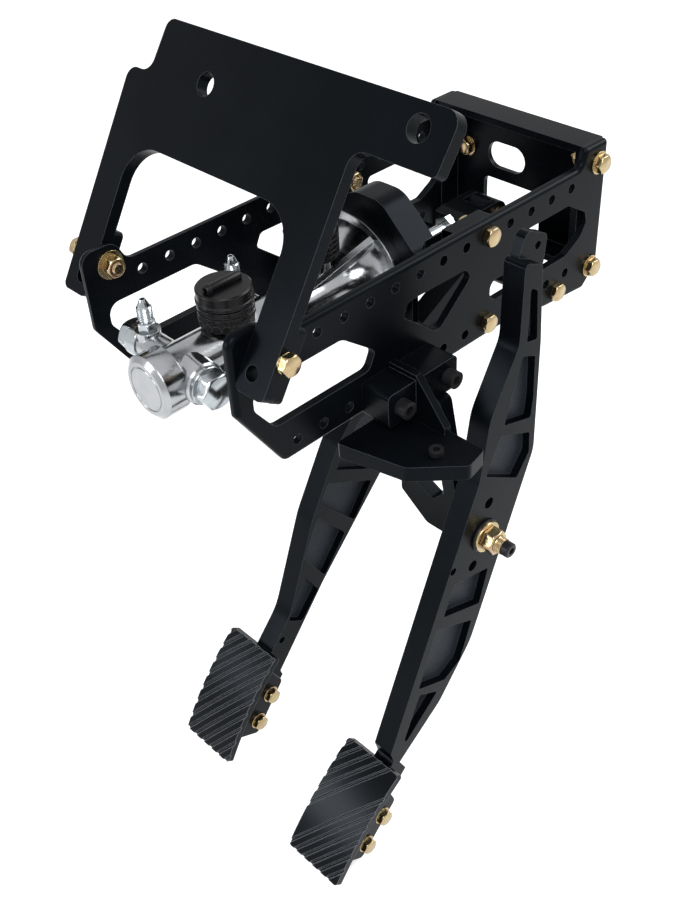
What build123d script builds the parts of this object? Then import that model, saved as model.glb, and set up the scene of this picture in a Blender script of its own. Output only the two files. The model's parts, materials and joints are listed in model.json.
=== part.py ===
from build123d import *
import os
from math import cos, radians, sin

# Pedal box for a car: two side plates carry a tandem brake cylinder, a hanging brake arm and a throttle arm.
# The origin is the centre of a hole of the upper row, on the outer face of the right side plate.
# +X is the driver's right, +Y is forward to the firewall and +Z is up. Sizes are in millimetres.

os.makedirs("parts", exist_ok=True)

# Frame
plate = 6.35
box_width = 168.25
hole_pitch = 25.4
hole_r = 4.15
row_drop = 76.2
plate_front = -74.5
plate_rear = 325.7
plate_top = 12.7
plate_bottom = -89.5
front_ear_top = 30.0
rear_ear_top = 27.0
rear_foot = -104.0

# Fasteners
bolt_r = 4.76
bolt_flats = 14.3
bolt_head = 6.2
nut_height = 8.0
washer_r = 9.6
washer_t = 1.6
shank_gap = 0.15
thread_drop = 0.21
bolt_end = 2.0
middle_bolt_y = 7 * hole_pitch
rear_bolt_y = 313.5
rear_bolt_z = 10.6
rear_bolt_drop = 94.3

# Mounting plate
slope = 57.5
slab = 9.5
lug_depth = 17.5
lug_rise = 52.0
leg_width = 27.0
side_gap = 0.3
leg_drop = 29.3
hinge_y = -52.0
hinge_z = 14.6
hinge_depth = 7.5
hinge_low = 22.3
band_low = 110.0
band_top = 196.5
band_step = 158.0
band_reach = 95.0
window_r = 28.0

# Firewall channel
web_t = 4.76
flange_depth = 27.0
shelf_low = -85.0
shelf_t = 6.0
shelf_margin = 3.425
channel_foot = -97.0
stud_margin = 1.825
stud_z = -17.0
stud_reach = 26.0

# Cylinder
axis_z = -40.0
bore_r = 12.7
body_r = 21.0
cap_r = 24.5
cap_face = -88.0
cap_back = -68.0
nose = -76.0
bore_end = -64.0
seat_y = 121.0
flange_r = 56.0
flange_t = 9.0
flare_start = 55.0
pilot_r = 18.0
pilot_end = 142.0
flange_bolt_x = 34.1
flange_bolt_z = 26.0
boss_r = 11.5
boss_reach = 46.0
fitting_x = 36.0
front_port_y = -56.0
rear_port_y = 25.0
front_inlet_y = -10.0
front_inlet_r = 23.0
rear_inlet_y = 76.0
rear_inlet_r = 19.5
inlet_top = 20.0
inlet_seat = -12.0
rear_seat = -3.0
fit_gap = 0.05
run_gap = 0.05
free_gap = 0.3

# Pistons
skirt_r = 9.6
spring_r = 7.4
wire_r = 0.9
spring_length = 27.0
secondary_front = -46.0
secondary_length = 52.0
primary_length = 104.0
piston_gap = 17.0
skirt_depth = 42.0
seal_r = 10.8

# Cross bracket
bracket_t = 6.35
rim_depth = 25.0
dome_top = 43.0
dome_half = 51.0
arm_block = 12.7
arm_end = 190.0
arm_height = 23.0
notch_depth = 20.0

# Push rod
rod_r = 6.0
rod_end = 248.0
pin_y = 272.0
pin_z = -41.0
pin_r = 5.0
clevis_r = 11.0
clevis_wall = 6.0
clevis_start = 229.0
pin_slack = 0.5

# Brake arm
arm_t = 19.0
pivot_y = 267.0
pivot_z = -88.0
hub_r = 18.0
eye_r = 11.0
sleeve_r = 8.0
bush_r = 10.5
collar_r = 12.5
pocket_depth = 7.0

# Pads
pad_width = 58.4
pad_length = 107.0
pad_t = 7.0
pad_corner = 6.0
groove_w = 2.2
groove_depth = 1.0
groove_step = 15.0
groove_angle = 54.0
lug_t = 6.35
pad_bolt_r = 3.97
pad_bolt_flats = 12.7
pad_bolt_head = 5.3
pad_nut = 6.5
pad_bolt_depth = 25.0
brake_bolts_at = (40, 68)
throttle_bolts_at = (43, 71)

# Throttle
throttle_x = 54.0
throttle_y = 94.0
throttle_z = -203.0
tab_t = 8.0
stud_r = 6.35
tail_r = 4.0
tail_length = 30.0
throttle_bush_r = 8.6
block_reach = 27.0
block_front = 38.0
block_rear = 112.0
block_top = -62.0
block_low = -90.0
shelf_top = -98.0
shelf_plate = 12.7
hanger_front = 87.6
hanger_t = 12.7
hanger_in = -10.0
hanger_out = 50.0
hanger_low = -219.0

mid = -box_width / 2
inner_right = -plate
channel_half = box_width / 2 - plate
middle = Plane.YZ.offset(mid)


def across(x):
    """Plane square to X at x: local x runs forward and local y runs up."""
    return Plane(origin=(x, 0, 0), x_dir=(0, 1, 0), z_dir=(1, 0, 0))


def outward(x, y, z, side=1):
    """Plane at a point, square to X, facing right when side is 1 and left when it is -1."""
    return Plane(origin=(x, y, z), x_dir=(0, 1, 0), z_dir=(side, 0, 0))


def along(y, x=mid, z=axis_z):
    """Plane square to Y at y, facing forward: local x runs right and local y runs down."""
    return Plane(origin=(x, y, z), x_dir=(1, 0, 0), z_dir=(0, 1, 0))


def level(z):
    """Plane square to Z at height z."""
    return Plane.XY.offset(z)


def hexagon(plane, flats, height, hole=0.0):
    """Add a six-sided prism on the plane, with an optional hole."""
    with BuildSketch(plane) as profile:
        RegularPolygon(flats / 2, 6, major_radius=False, rotation=30)
        if hole:
            Circle(hole, mode=Mode.SUBTRACT)
    extrude(profile.sketch, amount=height)


def disc(plane, radius, height, hole=0.0):
    """Add a round on the plane, with an optional hole."""
    with BuildSketch(plane) as profile:
        Circle(radius)
        if hole:
            Circle(hole, mode=Mode.SUBTRACT)
    extrude(profile.sketch, amount=height)


def bore(plane, radius, depth):
    """Cut a round hole into the part from the plane."""
    with BuildSketch(plane) as profile:
        Circle(radius)
    extrude(profile.sketch, amount=depth, mode=Mode.SUBTRACT)


def rounded(points, radii):
    """Add the face inside a closed outline with rounded corners."""
    with BuildLine() as outline:
        FilletPolyline(*points, radius=radii, close=True)
    make_face(outline.edges())


# Side plates
upper_row = [hole_pitch * step for step in range(-1, 12) if step != 7]
lower_row = [hole_pitch * step for step in range(-1, 12) if step != 7]
frame_bolts_at = [
    (middle_bolt_y, 0),
    (middle_bolt_y, -row_drop),
    (rear_bolt_y, rear_bolt_z),
    (rear_bolt_y, rear_bolt_z - rear_bolt_drop),
]
plate_outline = [
    (plate_front, front_ear_top),
    (plate_front + 29, front_ear_top),
    (plate_front + 38, plate_top),
    (plate_rear - 34, plate_top),
    (plate_rear - 29, rear_ear_top),
    (plate_rear, rear_ear_top),
    (plate_rear, rear_foot + 16),
    (plate_rear - 18, rear_foot),
    (plate_rear - 70, rear_foot + 5),
    (plate_rear - 120, plate_bottom),
    (plate_front + 37, plate_bottom),
    (plate_front, plate_bottom + 58),
]
front_opening = [(-60, -16.5), (22, -16.5), (54, -41.5), (47, -55.5), (-43.5, -55.5), (-60, -33)]
middle_window = [(88.5, -16.9), (83, -27.8), (120.8, -58.1), (157.9, -26.9), (152, -18)]
rear_window = [
    (211, -14), (277, -14), (301, -28.6), (304, -39), (297, -50),
    (278, -60), (181, -60), (181, -42), (211, -42),
]

with BuildPart() as side_plate_right:
    with BuildSketch(across(-plate)):
        rounded(plate_outline, [10, 12, 10, 8, 3, 3, 5, 5, 12, 20, 6, 6])
        with Locations(*[(y, 0) for y in upper_row], *[(y, -row_drop) for y in lower_row]):
            Circle(hole_r, mode=Mode.SUBTRACT)
        with Locations(*frame_bolts_at, (hinge_y, hinge_z), (pivot_y, pivot_z)):
            Circle(bolt_r + shank_gap, mode=Mode.SUBTRACT)
    extrude(amount=plate)
    for outline, radii in (
        (front_opening, [10, 12, 5, 8, 8, 8]),
        (middle_window, [6, 4, 8, 4, 6]),
        (rear_window, [5, 8, 4, 6, 8, 8, 8, 7, 6]),
    ):
        with BuildSketch(across(-plate)):
            rounded(outline, radii)
        extrude(amount=plate, mode=Mode.SUBTRACT)
    rear_edge = side_plate_right.edges().filter_by(Axis.Z).group_by(Axis.Y)[-1].sort_by(Axis.X)[-1]
    fillet(rear_edge, radius=4)
side_plate_right.part.label = "side_plate_right"
export_step(side_plate_right.part, "parts/side_plate_right.step")

with BuildPart() as side_plate_left:
    mirror(side_plate_right.part, about=middle)
side_plate_left.part.label = "side_plate_left"
export_step(side_plate_left.part, "parts/side_plate_left.step")

# Mounting plate
up_y, up_z = cos(radians(slope)), sin(radians(slope))
face_y = hinge_y - hinge_low * up_y - hinge_depth * up_z
face_z = hinge_z - hinge_low * up_z + hinge_depth * up_y
slab_front = Plane(origin=(0, face_y, face_z), x_dir=(1, 0, 0), z_dir=(0, -up_z, up_y))
leg_in = side_gap
leg_out = side_gap + leg_width
left_in = -box_width - leg_in
left_out = -box_width - leg_out
leg_low = hinge_low - leg_drop
slab_outline = [
    (leg_out, leg_low), (leg_out, band_step), (band_reach - 2, band_step), (band_reach, band_top),
    (-box_width - 1, band_top), (-box_width - 4, band_step), (left_out, band_step),
    (left_out, leg_low), (left_in, leg_low), (left_in, band_low), (leg_in, band_low), (leg_in, leg_low),
]

with BuildPart() as mounting_plate:
    with BuildSketch(slab_front):
        rounded(slab_outline, [5, 11, 4, 10, 8, 10, 9, 5, 5, window_r, window_r, 5])
        with Locations((-113.5, 163)):
            Circle(8, mode=Mode.SUBTRACT)
        with Locations((69, 181)):
            Circle(8.5, mode=Mode.SUBTRACT)
    extrude(amount=-slab)
    with BuildSketch(slab_front.offset(-slab)):
        with Locations((leg_in + leg_width / 2, leg_low + lug_rise / 2)):
            RectangleRounded(leg_width, lug_rise, 4)
        with Locations((left_in - leg_width / 2, leg_low + lug_rise / 2)):
            RectangleRounded(leg_width, lug_rise, 4)
    extrude(amount=-(lug_depth - slab))
    with BuildSketch(across(left_out)):
        with Locations((hinge_y, hinge_z)):
            Circle(bolt_r + shank_gap)
    extrude(amount=leg_out - left_out, mode=Mode.SUBTRACT)
    with BuildSketch(slab_front):
        with Locations((leg_in + leg_width * 0.38, hinge_low - 15)):
            Circle(5.5)
        with Locations((left_in - leg_width * 0.38, hinge_low - 15)):
            Circle(5.5)
    extrude(amount=-lug_depth, mode=Mode.SUBTRACT)
mounting_plate.part.label = "mounting_plate"
export_step(mounting_plate.part, "parts/mounting_plate.step")

with BuildPart() as mounting_plate_bolts:
    disc(outward(leg_out, hinge_y, hinge_z), washer_r, washer_t, bolt_r + shank_gap)
    hexagon(outward(leg_out + washer_t, hinge_y, hinge_z), bolt_flats, bolt_head)
    hinge_grip = washer_t + leg_out + plate + washer_t + nut_height + bolt_end
    disc(outward(leg_out + washer_t, hinge_y, hinge_z, -1), bolt_r, hinge_grip)
    mirror(about=middle)
mounting_plate_bolts.part.label = "mounting_plate_bolts"
export_step(mounting_plate_bolts.part, "parts/mounting_plate_bolts.step")

with BuildPart() as mounting_plate_nuts:
    disc(outward(-plate, hinge_y, hinge_z, -1), washer_r, washer_t, bolt_r + shank_gap)
    hexagon(outward(-plate - washer_t, hinge_y, hinge_z, -1), bolt_flats, nut_height, bolt_r + shank_gap)
    mirror(about=middle)
mounting_plate_nuts.part.label = "mounting_plate_nuts"
export_step(mounting_plate_nuts.part, "parts/mounting_plate_nuts.step")

# Firewall channel
web_front = plate_rear - web_t
channel_front = plate_rear - flange_depth
stud_half = channel_half - plate - washer_r - stud_margin
shelf_width = 2 * (channel_half - plate - nut_height - bolt_end - shelf_margin)
stud_x = [mid - stud_half, mid + stud_half]
with BuildPart() as firewall_channel:
    with BuildSketch(along(web_front)):
        with Locations((0, axis_z - (rear_ear_top + channel_foot) / 2)):
            Rectangle(2 * channel_half, rear_ear_top - channel_foot)
    extrude(amount=web_t)
    for x in (mid + channel_half - plate, mid - channel_half):
        with BuildSketch(across(x)):
            with Locations(((channel_front + plate_rear) / 2, (rear_ear_top + channel_foot) / 2)):
                RectangleRounded(flange_depth, rear_ear_top - channel_foot, 2)
        extrude(amount=plate)
    with BuildSketch(level(rear_ear_top - plate)):
        with Locations((mid, (channel_front + plate_rear) / 2)):
            Rectangle(2 * channel_half, flange_depth)
    extrude(amount=plate)
    with BuildSketch(level(shelf_low)):
        with Locations((mid, (channel_front + plate_rear) / 2)):
            Rectangle(shelf_width, flange_depth)
    extrude(amount=shelf_t)
    with BuildSketch(along(web_front, mid, 0)):
        with Locations((-16, -stud_z)):
            SlotOverall(41, 24)
        with Locations((-8.4, 59.3)):
            RectangleRounded(63, 39, 6)
        with Locations((-stud_half, -stud_z), (stud_half, -stud_z)):
            Circle(bolt_r + shank_gap)
    extrude(amount=web_t, mode=Mode.SUBTRACT)
    for y, z in frame_bolts_at[2:]:
        bore(outward(mid + channel_half, y, z, -1), bolt_r + shank_gap, plate)
        bore(outward(mid - channel_half, y, z), bolt_r + shank_gap, plate)
firewall_channel.part.label = "firewall_channel"
export_step(firewall_channel.part, "parts/firewall_channel.step")

with BuildPart() as firewall_bolts:
    for x in stud_x:
        disc(along(web_front - washer_t, x, stud_z), washer_r, washer_t, bolt_r + shank_gap)
        hexagon(along(web_front - washer_t - bolt_head, x, stud_z), bolt_flats, bolt_head)
        disc(along(web_front - washer_t, x, stud_z), bolt_r, washer_t + web_t)
        disc(along(plate_rear, x, stud_z), bolt_r - thread_drop, stud_reach)
firewall_bolts.part.label = "firewall_bolts"
export_step(firewall_bolts.part, "parts/firewall_bolts.step")

# Cross bracket
bracket_outline = [
    (channel_half, plate_top - 1), (dome_half + 8, plate_top + 6), (dome_half - 16, dome_top),
    (16 - dome_half, dome_top), (-dome_half - 8, plate_top + 6), (-channel_half, plate_top - 1),
    (-channel_half, plate_bottom), (channel_half, plate_bottom),
]
bracket_radii = [2, 16, 22, 22, 16, 2, 2, 2]


def bracket_profile(inset=0.0):
    """Outline of the bracket's web, seen along Y, drawn smaller by the inset."""
    with BuildLine() as outline:
        FilletPolyline(*[(x, axis_z - z) for x, z in bracket_outline], radius=bracket_radii, close=True)
    make_face(outline.edges())
    if inset:
        offset(amount=-inset, mode=Mode.REPLACE)


with BuildPart() as cross_bracket:
    with BuildSketch(along(seat_y)):
        bracket_profile()
    extrude(amount=rim_depth)
    with BuildSketch(along(seat_y + bracket_t)):
        bracket_profile(bracket_t)
    extrude(amount=rim_depth, mode=Mode.SUBTRACT)
    for x in (mid + channel_half - arm_block, mid - channel_half):
        for z in (0, -row_drop):
            with BuildSketch(across(x)):
                with Locations(((seat_y + arm_end) / 2, z)):
                    RectangleRounded(arm_end - seat_y, arm_height, 4)
            extrude(amount=arm_block)
    notch_height = row_drop - arm_height - 4
    for x in (mid + channel_half - notch_depth, mid - channel_half):
        with BuildSketch(across(x)):
            with Locations((seat_y + rim_depth / 2, -row_drop / 2)):
                Rectangle(rim_depth, notch_height)
        extrude(amount=notch_depth, mode=Mode.SUBTRACT)
    bore(along(seat_y), pilot_r + shank_gap, rim_depth)
    for side in (1, -1):
        bore(along(seat_y, mid + side * flange_bolt_x, axis_z - side * flange_bolt_z), bolt_r + shank_gap, rim_depth)
    with BuildSketch(across(mid - channel_half)):
        with Locations(*frame_bolts_at[:2]):
            Circle(bolt_r + shank_gap)
    extrude(amount=2 * channel_half, mode=Mode.SUBTRACT)
cross_bracket.part.label = "cross_bracket"
export_step(cross_bracket.part, "parts/cross_bracket.step")

# Frame bolts and nuts
with BuildPart() as frame_bolts:
    for y, z in frame_bolts_at:
        rear = y == rear_bolt_y
        head_x = washer_t if rear else 0
        carried = plate if rear else arm_block
        hexagon(outward(head_x, y, z), bolt_flats, bolt_head)
        disc(outward(head_x, y, z, -1), bolt_r, head_x + plate + carried + nut_height + bolt_end)
        if rear:
            disc(outward(0, y, z), washer_r, washer_t, bolt_r + shank_gap)
    mirror(about=middle)
frame_bolts.part.label = "frame_bolts"
export_step(frame_bolts.part, "parts/frame_bolts.step")

with BuildPart() as frame_nuts:
    for y, z in frame_bolts_at:
        carried = plate if y == rear_bolt_y else arm_block
        hexagon(outward(-plate - carried, y, z, -1), bolt_flats, nut_height, bolt_r + shank_gap)
    mirror(about=middle)
frame_nuts.part.label = "frame_nuts"
export_step(frame_nuts.part, "parts/frame_nuts.step")

# Tandem cylinder
cylinder_axis = Axis((mid, 0, axis_z), (0, 1, 0))
cylinder_side = Plane(origin=(mid, 0, axis_z), x_dir=(0, 1, 0), z_dir=(1, 0, 0))
flange_front = seat_y - flange_t
with BuildPart() as cylinder_body:
    with BuildSketch(cylinder_side):
        with BuildLine():
            Polyline((nose, 0), (nose, body_r), (flare_start, body_r))
            Spline(
                (flare_start, body_r), (flange_front - 14, body_r + 9), (flange_front, flange_r - 6),
                tangents=[(1, 0), (0.2, 1)],
            )
            Polyline(
                (flange_front, flange_r - 6), (flange_front, flange_r), (seat_y, flange_r),
                (seat_y, pilot_r), (pilot_end, pilot_r), (pilot_end, 0), (nose, 0),
            )
        make_face()
    revolve(axis=cylinder_axis)
    for angle in range(0, 360, 60):
        rib_normal = (sin(radians(angle)), 0, -cos(radians(angle)))
        with BuildSketch(Plane(origin=(mid, 0, axis_z), x_dir=(0, 1, 0), z_dir=rib_normal)):
            with BuildLine():
                Polyline(
                    (flare_start + 6, body_r - 2), (flare_start + 6, body_r + 1),
                    (flange_front + 2, flange_r - 4), (flange_front + 2, body_r - 2), close=True,
                )
            make_face()
        extrude(amount=2.5, both=True)
    for y in (front_port_y, rear_port_y):
        disc(Plane(origin=(mid, y, axis_z + 6), z_dir=(-1, 0, 0)), boss_r, boss_reach)
        disc(Plane(origin=(mid - fitting_x, y, axis_z + 6)), boss_r - 2, boss_r + 2)
    disc(Plane(origin=(mid, front_inlet_y, axis_z)), 14, inlet_seat - axis_z)
    disc(Plane(origin=(mid, rear_inlet_y, axis_z)), 12, rear_seat - axis_z)
    disc(Plane(origin=(mid, front_port_y, axis_z), z_dir=(1, 0, 0)), 11, body_r + 6)
    bore(along(bore_end), bore_r, pilot_end - bore_end)
    for side in (1, -1):
        bolt_x, bolt_z = mid + side * flange_bolt_x, axis_z - side * flange_bolt_z
        bore(along(flange_front - 30, bolt_x, bolt_z), washer_r + 0.4, 30)
        bore(along(flange_front, bolt_x, bolt_z), bolt_r + shank_gap, flange_t)
    ring_groove = pilot_end - 5
    bore(along(ring_groove), bore_r + 1.2, 1.6)
cylinder_body.part.label = "cylinder_body"
export_step(cylinder_body.part, "parts/cylinder_body.step")

with BuildPart() as cylinder_end_cap:
    with BuildSketch(cylinder_side):
        with BuildLine():
            Polyline(
                (cap_face, 0), (cap_face, cap_r - 4), (cap_face + 3, cap_r), (cap_back, cap_r),
                (cap_back, body_r + fit_gap), (nose, body_r + fit_gap), (nose, 0), close=True,
            )
        make_face()
    revolve(axis=cylinder_axis)
    with BuildSketch(along(cap_face)):
        Circle(cap_r - 7)
        Circle(cap_r - 8.2, mode=Mode.SUBTRACT)
    extrude(amount=0.8, mode=Mode.SUBTRACT)
cylinder_end_cap.part.label = "cylinder_end_cap"
export_step(cylinder_end_cap.part, "parts/cylinder_end_cap.step")

# Reservoir inlets
with BuildPart() as front_reservoir_inlet:
    inlet_low = axis_z + 13
    disc(Plane(origin=(mid, front_inlet_y, inlet_low)), front_inlet_r, inlet_top - 9 - inlet_low)
    disc(Plane(origin=(mid, front_inlet_y, inlet_top - 9)), front_inlet_r - 5, 9)
    for groove_z in (inlet_seat + 2, inlet_seat + 8, inlet_seat + 14):
        with BuildSketch(Plane(origin=(mid, front_inlet_y, groove_z))):
            Circle(front_inlet_r)
            Circle(front_inlet_r - 2, mode=Mode.SUBTRACT)
        extrude(amount=2.4, mode=Mode.SUBTRACT)
    bore(Plane(origin=(mid, front_inlet_y, inlet_low)), 14 + free_gap, inlet_seat - inlet_low)
    disc(Plane(origin=(mid, front_inlet_y, inlet_top - 4.5), z_dir=(-0.7, -0.7, 0)), 4.2, front_inlet_r + 14)
    for barb in (front_inlet_r + 1, front_inlet_r + 6, front_inlet_r + 11):
        barb_plane = Plane(
            origin=(mid - 0.7071 * barb, front_inlet_y - 0.7071 * barb, inlet_top - 4.5), z_dir=(-0.7, -0.7, 0)
        )
        with BuildSketch(barb_plane):
            Circle(5.4)
        extrude(amount=3.2, taper=20)
    with BuildSketch(Plane(origin=(mid, front_inlet_y, inlet_top))):
        Rectangle(front_inlet_r, 4, rotation=45)
    extrude(amount=2)
    with BuildSketch(along(front_inlet_y - front_inlet_r)):
        Circle(body_r + free_gap)
    extrude(amount=2 * front_inlet_r, mode=Mode.SUBTRACT)
front_reservoir_inlet.part.label = "front_reservoir_inlet"
export_step(front_reservoir_inlet.part, "parts/front_reservoir_inlet.step")

with BuildPart() as rear_reservoir_inlet:
    disc(Plane(origin=(mid, rear_inlet_y, rear_seat)), rear_inlet_r, inlet_top - rear_seat)
    for groove_z in (rear_seat + 5, rear_seat + 11):
        with BuildSketch(Plane(origin=(mid, rear_inlet_y, groove_z))):
            Circle(rear_inlet_r)
            Circle(rear_inlet_r - 2, mode=Mode.SUBTRACT)
        extrude(amount=2.4, mode=Mode.SUBTRACT)
    disc(Plane(origin=(mid, rear_inlet_y, inlet_top)), rear_inlet_r - 6, 8)
    disc(Plane(origin=(mid, rear_inlet_y, inlet_top + 4), z_dir=(-1, -0.2, 0)), 3.6, rear_inlet_r + 12)
rear_reservoir_inlet.part.label = "rear_reservoir_inlet"
export_step(rear_reservoir_inlet.part, "parts/rear_reservoir_inlet.step")

# Outlet fittings and stop plug
port_top = axis_z + 6 + boss_r + 2
with BuildPart() as outlet_fittings:
    for y in (front_port_y, rear_port_y):
        port = Plane(origin=(mid - fitting_x, y, port_top))
        hexagon(port, 13, 6)
        disc(port.offset(6), 5, 7)
        with BuildSketch(port.offset(13)):
            Circle(5)
        extrude(amount=4, taper=37)
        bore(port, 1.6, 17)
outlet_fittings.part.label = "outlet_fittings"
export_step(outlet_fittings.part, "parts/outlet_fittings.step")

with BuildPart() as side_port_plug:
    plug = Plane(origin=(mid + body_r + 6, front_port_y, axis_z), z_dir=(1, 0, 0))
    disc(plug, 10, 1.5)
    hexagon(plug.offset(1.5), 17, 10)
    disc(plug.offset(11.5), 6, 4)
side_port_plug.part.label = "side_port_plug"
export_step(side_port_plug.part, "parts/side_port_plug.step")

with BuildPart() as flange_bolts:
    for side in (1, -1):
        bolt_x, bolt_z = mid + side * flange_bolt_x, axis_z - side * flange_bolt_z
        hexagon(along(flange_front - bolt_head, bolt_x, bolt_z), bolt_flats, bolt_head)
        flange_grip = flange_t + bracket_t + washer_t + nut_height + bolt_end
        disc(along(flange_front, bolt_x, bolt_z), bolt_r, flange_grip)
flange_bolts.part.label = "flange_bolts"
export_step(flange_bolts.part, "parts/flange_bolts.step")

with BuildPart() as flange_nuts:
    for side in (1, -1):
        bolt_x, bolt_z = mid + side * flange_bolt_x, axis_z - side * flange_bolt_z
        disc(along(seat_y + bracket_t, bolt_x, bolt_z), washer_r, washer_t, bolt_r + shank_gap)
        nut_seat = along(seat_y + bracket_t + washer_t, bolt_x, bolt_z)
        hexagon(nut_seat, bolt_flats, nut_height, bolt_r + shank_gap)
flange_nuts.part.label = "flange_nuts"
export_step(flange_nuts.part, "parts/flange_nuts.step")

# Pistons, springs and seals
piston_r = bore_r - run_gap
secondary_rear = secondary_front + secondary_length
primary_front = secondary_rear + piston_gap
primary_rear = primary_front + primary_length


def piston(front, rear, seal_at):
    """Add a piston with a hollow front skirt and grooves for its seals."""
    disc(along(front), piston_r, rear - front)
    bore(along(front), skirt_r, skirt_depth if rear - front > 60 else 24)
    for y in seal_at:
        with BuildSketch(along(y)) as groove:
            Circle(bore_r)
            Circle(seal_r, mode=Mode.SUBTRACT)
        extrude(groove.sketch, amount=3, mode=Mode.SUBTRACT)


def seals(seal_at):
    """Add the lip seals that fill a piston's grooves."""
    for y in seal_at:
        disc(along(y + 0.1), bore_r - run_gap, 2.8, seal_r + run_gap)


def coil(start):
    """Add a compression spring on the cylinder's axis, one end at start."""
    height = spring_length - 2 * wire_r
    with BuildLine() as path:
        Helix(height / 6, height, spring_r, center=(mid, start + wire_r, axis_z), direction=(0, 1, 0))
    with BuildSketch(Plane(origin=path.line @ 0, z_dir=path.line % 0)) as wire:
        Circle(wire_r)
    sweep(wire.sketch, path=path.line, is_frenet=True)


secondary_seals_at = [secondary_front + 27, secondary_rear - 6]
primary_seals_at = [primary_front + 46, primary_rear - 12]
with BuildPart() as secondary_piston:
    piston(secondary_front, secondary_rear, secondary_seals_at)
secondary_piston.part.label = "secondary_piston"
export_step(secondary_piston.part, "parts/secondary_piston.step")

with BuildPart() as secondary_seals:
    seals(secondary_seals_at)
secondary_seals.part.label = "secondary_seals"
export_step(secondary_seals.part, "parts/secondary_seals.step")

with BuildPart() as secondary_spring:
    coil(bore_end)
secondary_spring.part.label = "secondary_spring"
export_step(secondary_spring.part, "parts/secondary_spring.step")

with BuildPart() as primary_piston:
    piston(primary_front, primary_rear, primary_seals_at)
    with BuildSketch(along(primary_rear)):
        Circle(rod_r + 2)
    extrude(amount=-16, mode=Mode.SUBTRACT)
primary_piston.part.label = "primary_piston"
export_step(primary_piston.part, "parts/primary_piston.step")

with BuildPart() as primary_seals:
    seals(primary_seals_at)
primary_seals.part.label = "primary_seals"
export_step(primary_seals.part, "parts/primary_seals.step")

with BuildPart() as primary_spring:
    coil(secondary_rear)
primary_spring.part.label = "primary_spring"
export_step(primary_spring.part, "parts/primary_spring.step")

with BuildPart() as piston_retaining_ring:
    disc(along(ring_groove + 0.1), bore_r + 1, 1.4, rod_r + 4.5)
    with BuildSketch(along(ring_groove + 0.1)):
        with Locations((0, -bore_r)):
            Rectangle(5, 10)
    extrude(amount=1.4, mode=Mode.SUBTRACT)
piston_retaining_ring.part.label = "piston_retaining_ring"
export_step(piston_retaining_ring.part, "parts/piston_retaining_ring.step")

# Push rod and clevis
rod_tip = primary_rear - 16
clevis_in = arm_t / 2 + pin_slack
clevis_out = clevis_in + clevis_wall
bridge_end = pin_y - eye_r - 5
with BuildPart() as push_rod:
    disc(along(rod_tip, mid, pin_z), rod_r, rod_end - rod_tip)
    fillet(push_rod.edges().group_by(Axis.Y)[0], radius=rod_r - 0.5)
push_rod.part.label = "push_rod"
export_step(push_rod.part, "parts/push_rod.step")

with BuildPart() as push_rod_locknut:
    hexagon(along(clevis_start - 7, mid, pin_z), 19, 7, rod_r + fit_gap)
push_rod_locknut.part.label = "push_rod_locknut"
export_step(push_rod_locknut.part, "parts/push_rod_locknut.step")

with BuildPart() as push_rod_clevis:
    with BuildSketch(across(mid - clevis_out)):
        with BuildLine():
            Polyline(
                (pin_y, pin_z + clevis_r), (clevis_start + 8, pin_z + clevis_r), (clevis_start, pin_z + 9),
                (clevis_start, pin_z - 9), (clevis_start + 8, pin_z - clevis_r), (pin_y, pin_z - clevis_r),
            )
            ThreePointArc((pin_y, pin_z - clevis_r), (pin_y + clevis_r, pin_z), (pin_y, pin_z + clevis_r))
        make_face()
    extrude(amount=2 * clevis_out)
    with BuildSketch(across(mid - clevis_in)):
        with Locations(((bridge_end + pin_y + clevis_r) / 2, pin_z)):
            Rectangle(pin_y + clevis_r - bridge_end, 2 * clevis_r)
    extrude(amount=2 * clevis_in, mode=Mode.SUBTRACT)
    bore(along(clevis_start, mid, pin_z), rod_r + fit_gap, rod_end - clevis_start + 1)
    bore(outward(mid - clevis_out, pin_y, pin_z), pin_r + fit_gap, 2 * clevis_out)
push_rod_clevis.part.label = "push_rod_clevis"
export_step(push_rod_clevis.part, "parts/push_rod_clevis.step")

with BuildPart() as clevis_pin:
    disc(outward(mid + clevis_out, pin_y, pin_z), pin_r + 2.5, 2.5)
    disc(outward(mid + clevis_out, pin_y, pin_z, -1), pin_r, 2 * clevis_out + 5)
    bore(Plane(origin=(mid - clevis_out - 3, pin_y, pin_z - pin_r)), 1.1, 2 * pin_r)
clevis_pin.part.label = "clevis_pin"
export_step(clevis_pin.part, "parts/clevis_pin.step")

# Brake arm
brake_pad_top = (-25.0, -357.0)
brake_pad_run = (-0.6258, -0.7800)
brake_left = mid - arm_t / 2
brake_outline = [
    (262, -72), (105, -153), (77.5, -184), (43, -244), (7.6, -335), (-20, -365.5),
    (-14, -398), (49.5, -322), (127, -242), (170, -196), (279, -103),
]
brake_pockets = [
    [(74, -207), (104, -171), (150, -157), (172, -175), (118, -232)],
    [(116, -244), (92, -276), (54, -233), (64, -216)],
    [(49, -245), (80, -283), (52, -317), (30, -281)],
    [(29, -302), (43, -328), (21, -352), (5, -341)],
]


def pad_side(x, top, run):
    """Plane square to X at x: local x runs down the pad and local y runs behind it."""
    return Plane(origin=(x, top[0], top[1]), x_dir=(0, run[0], run[1]), z_dir=(1, 0, 0))


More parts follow.
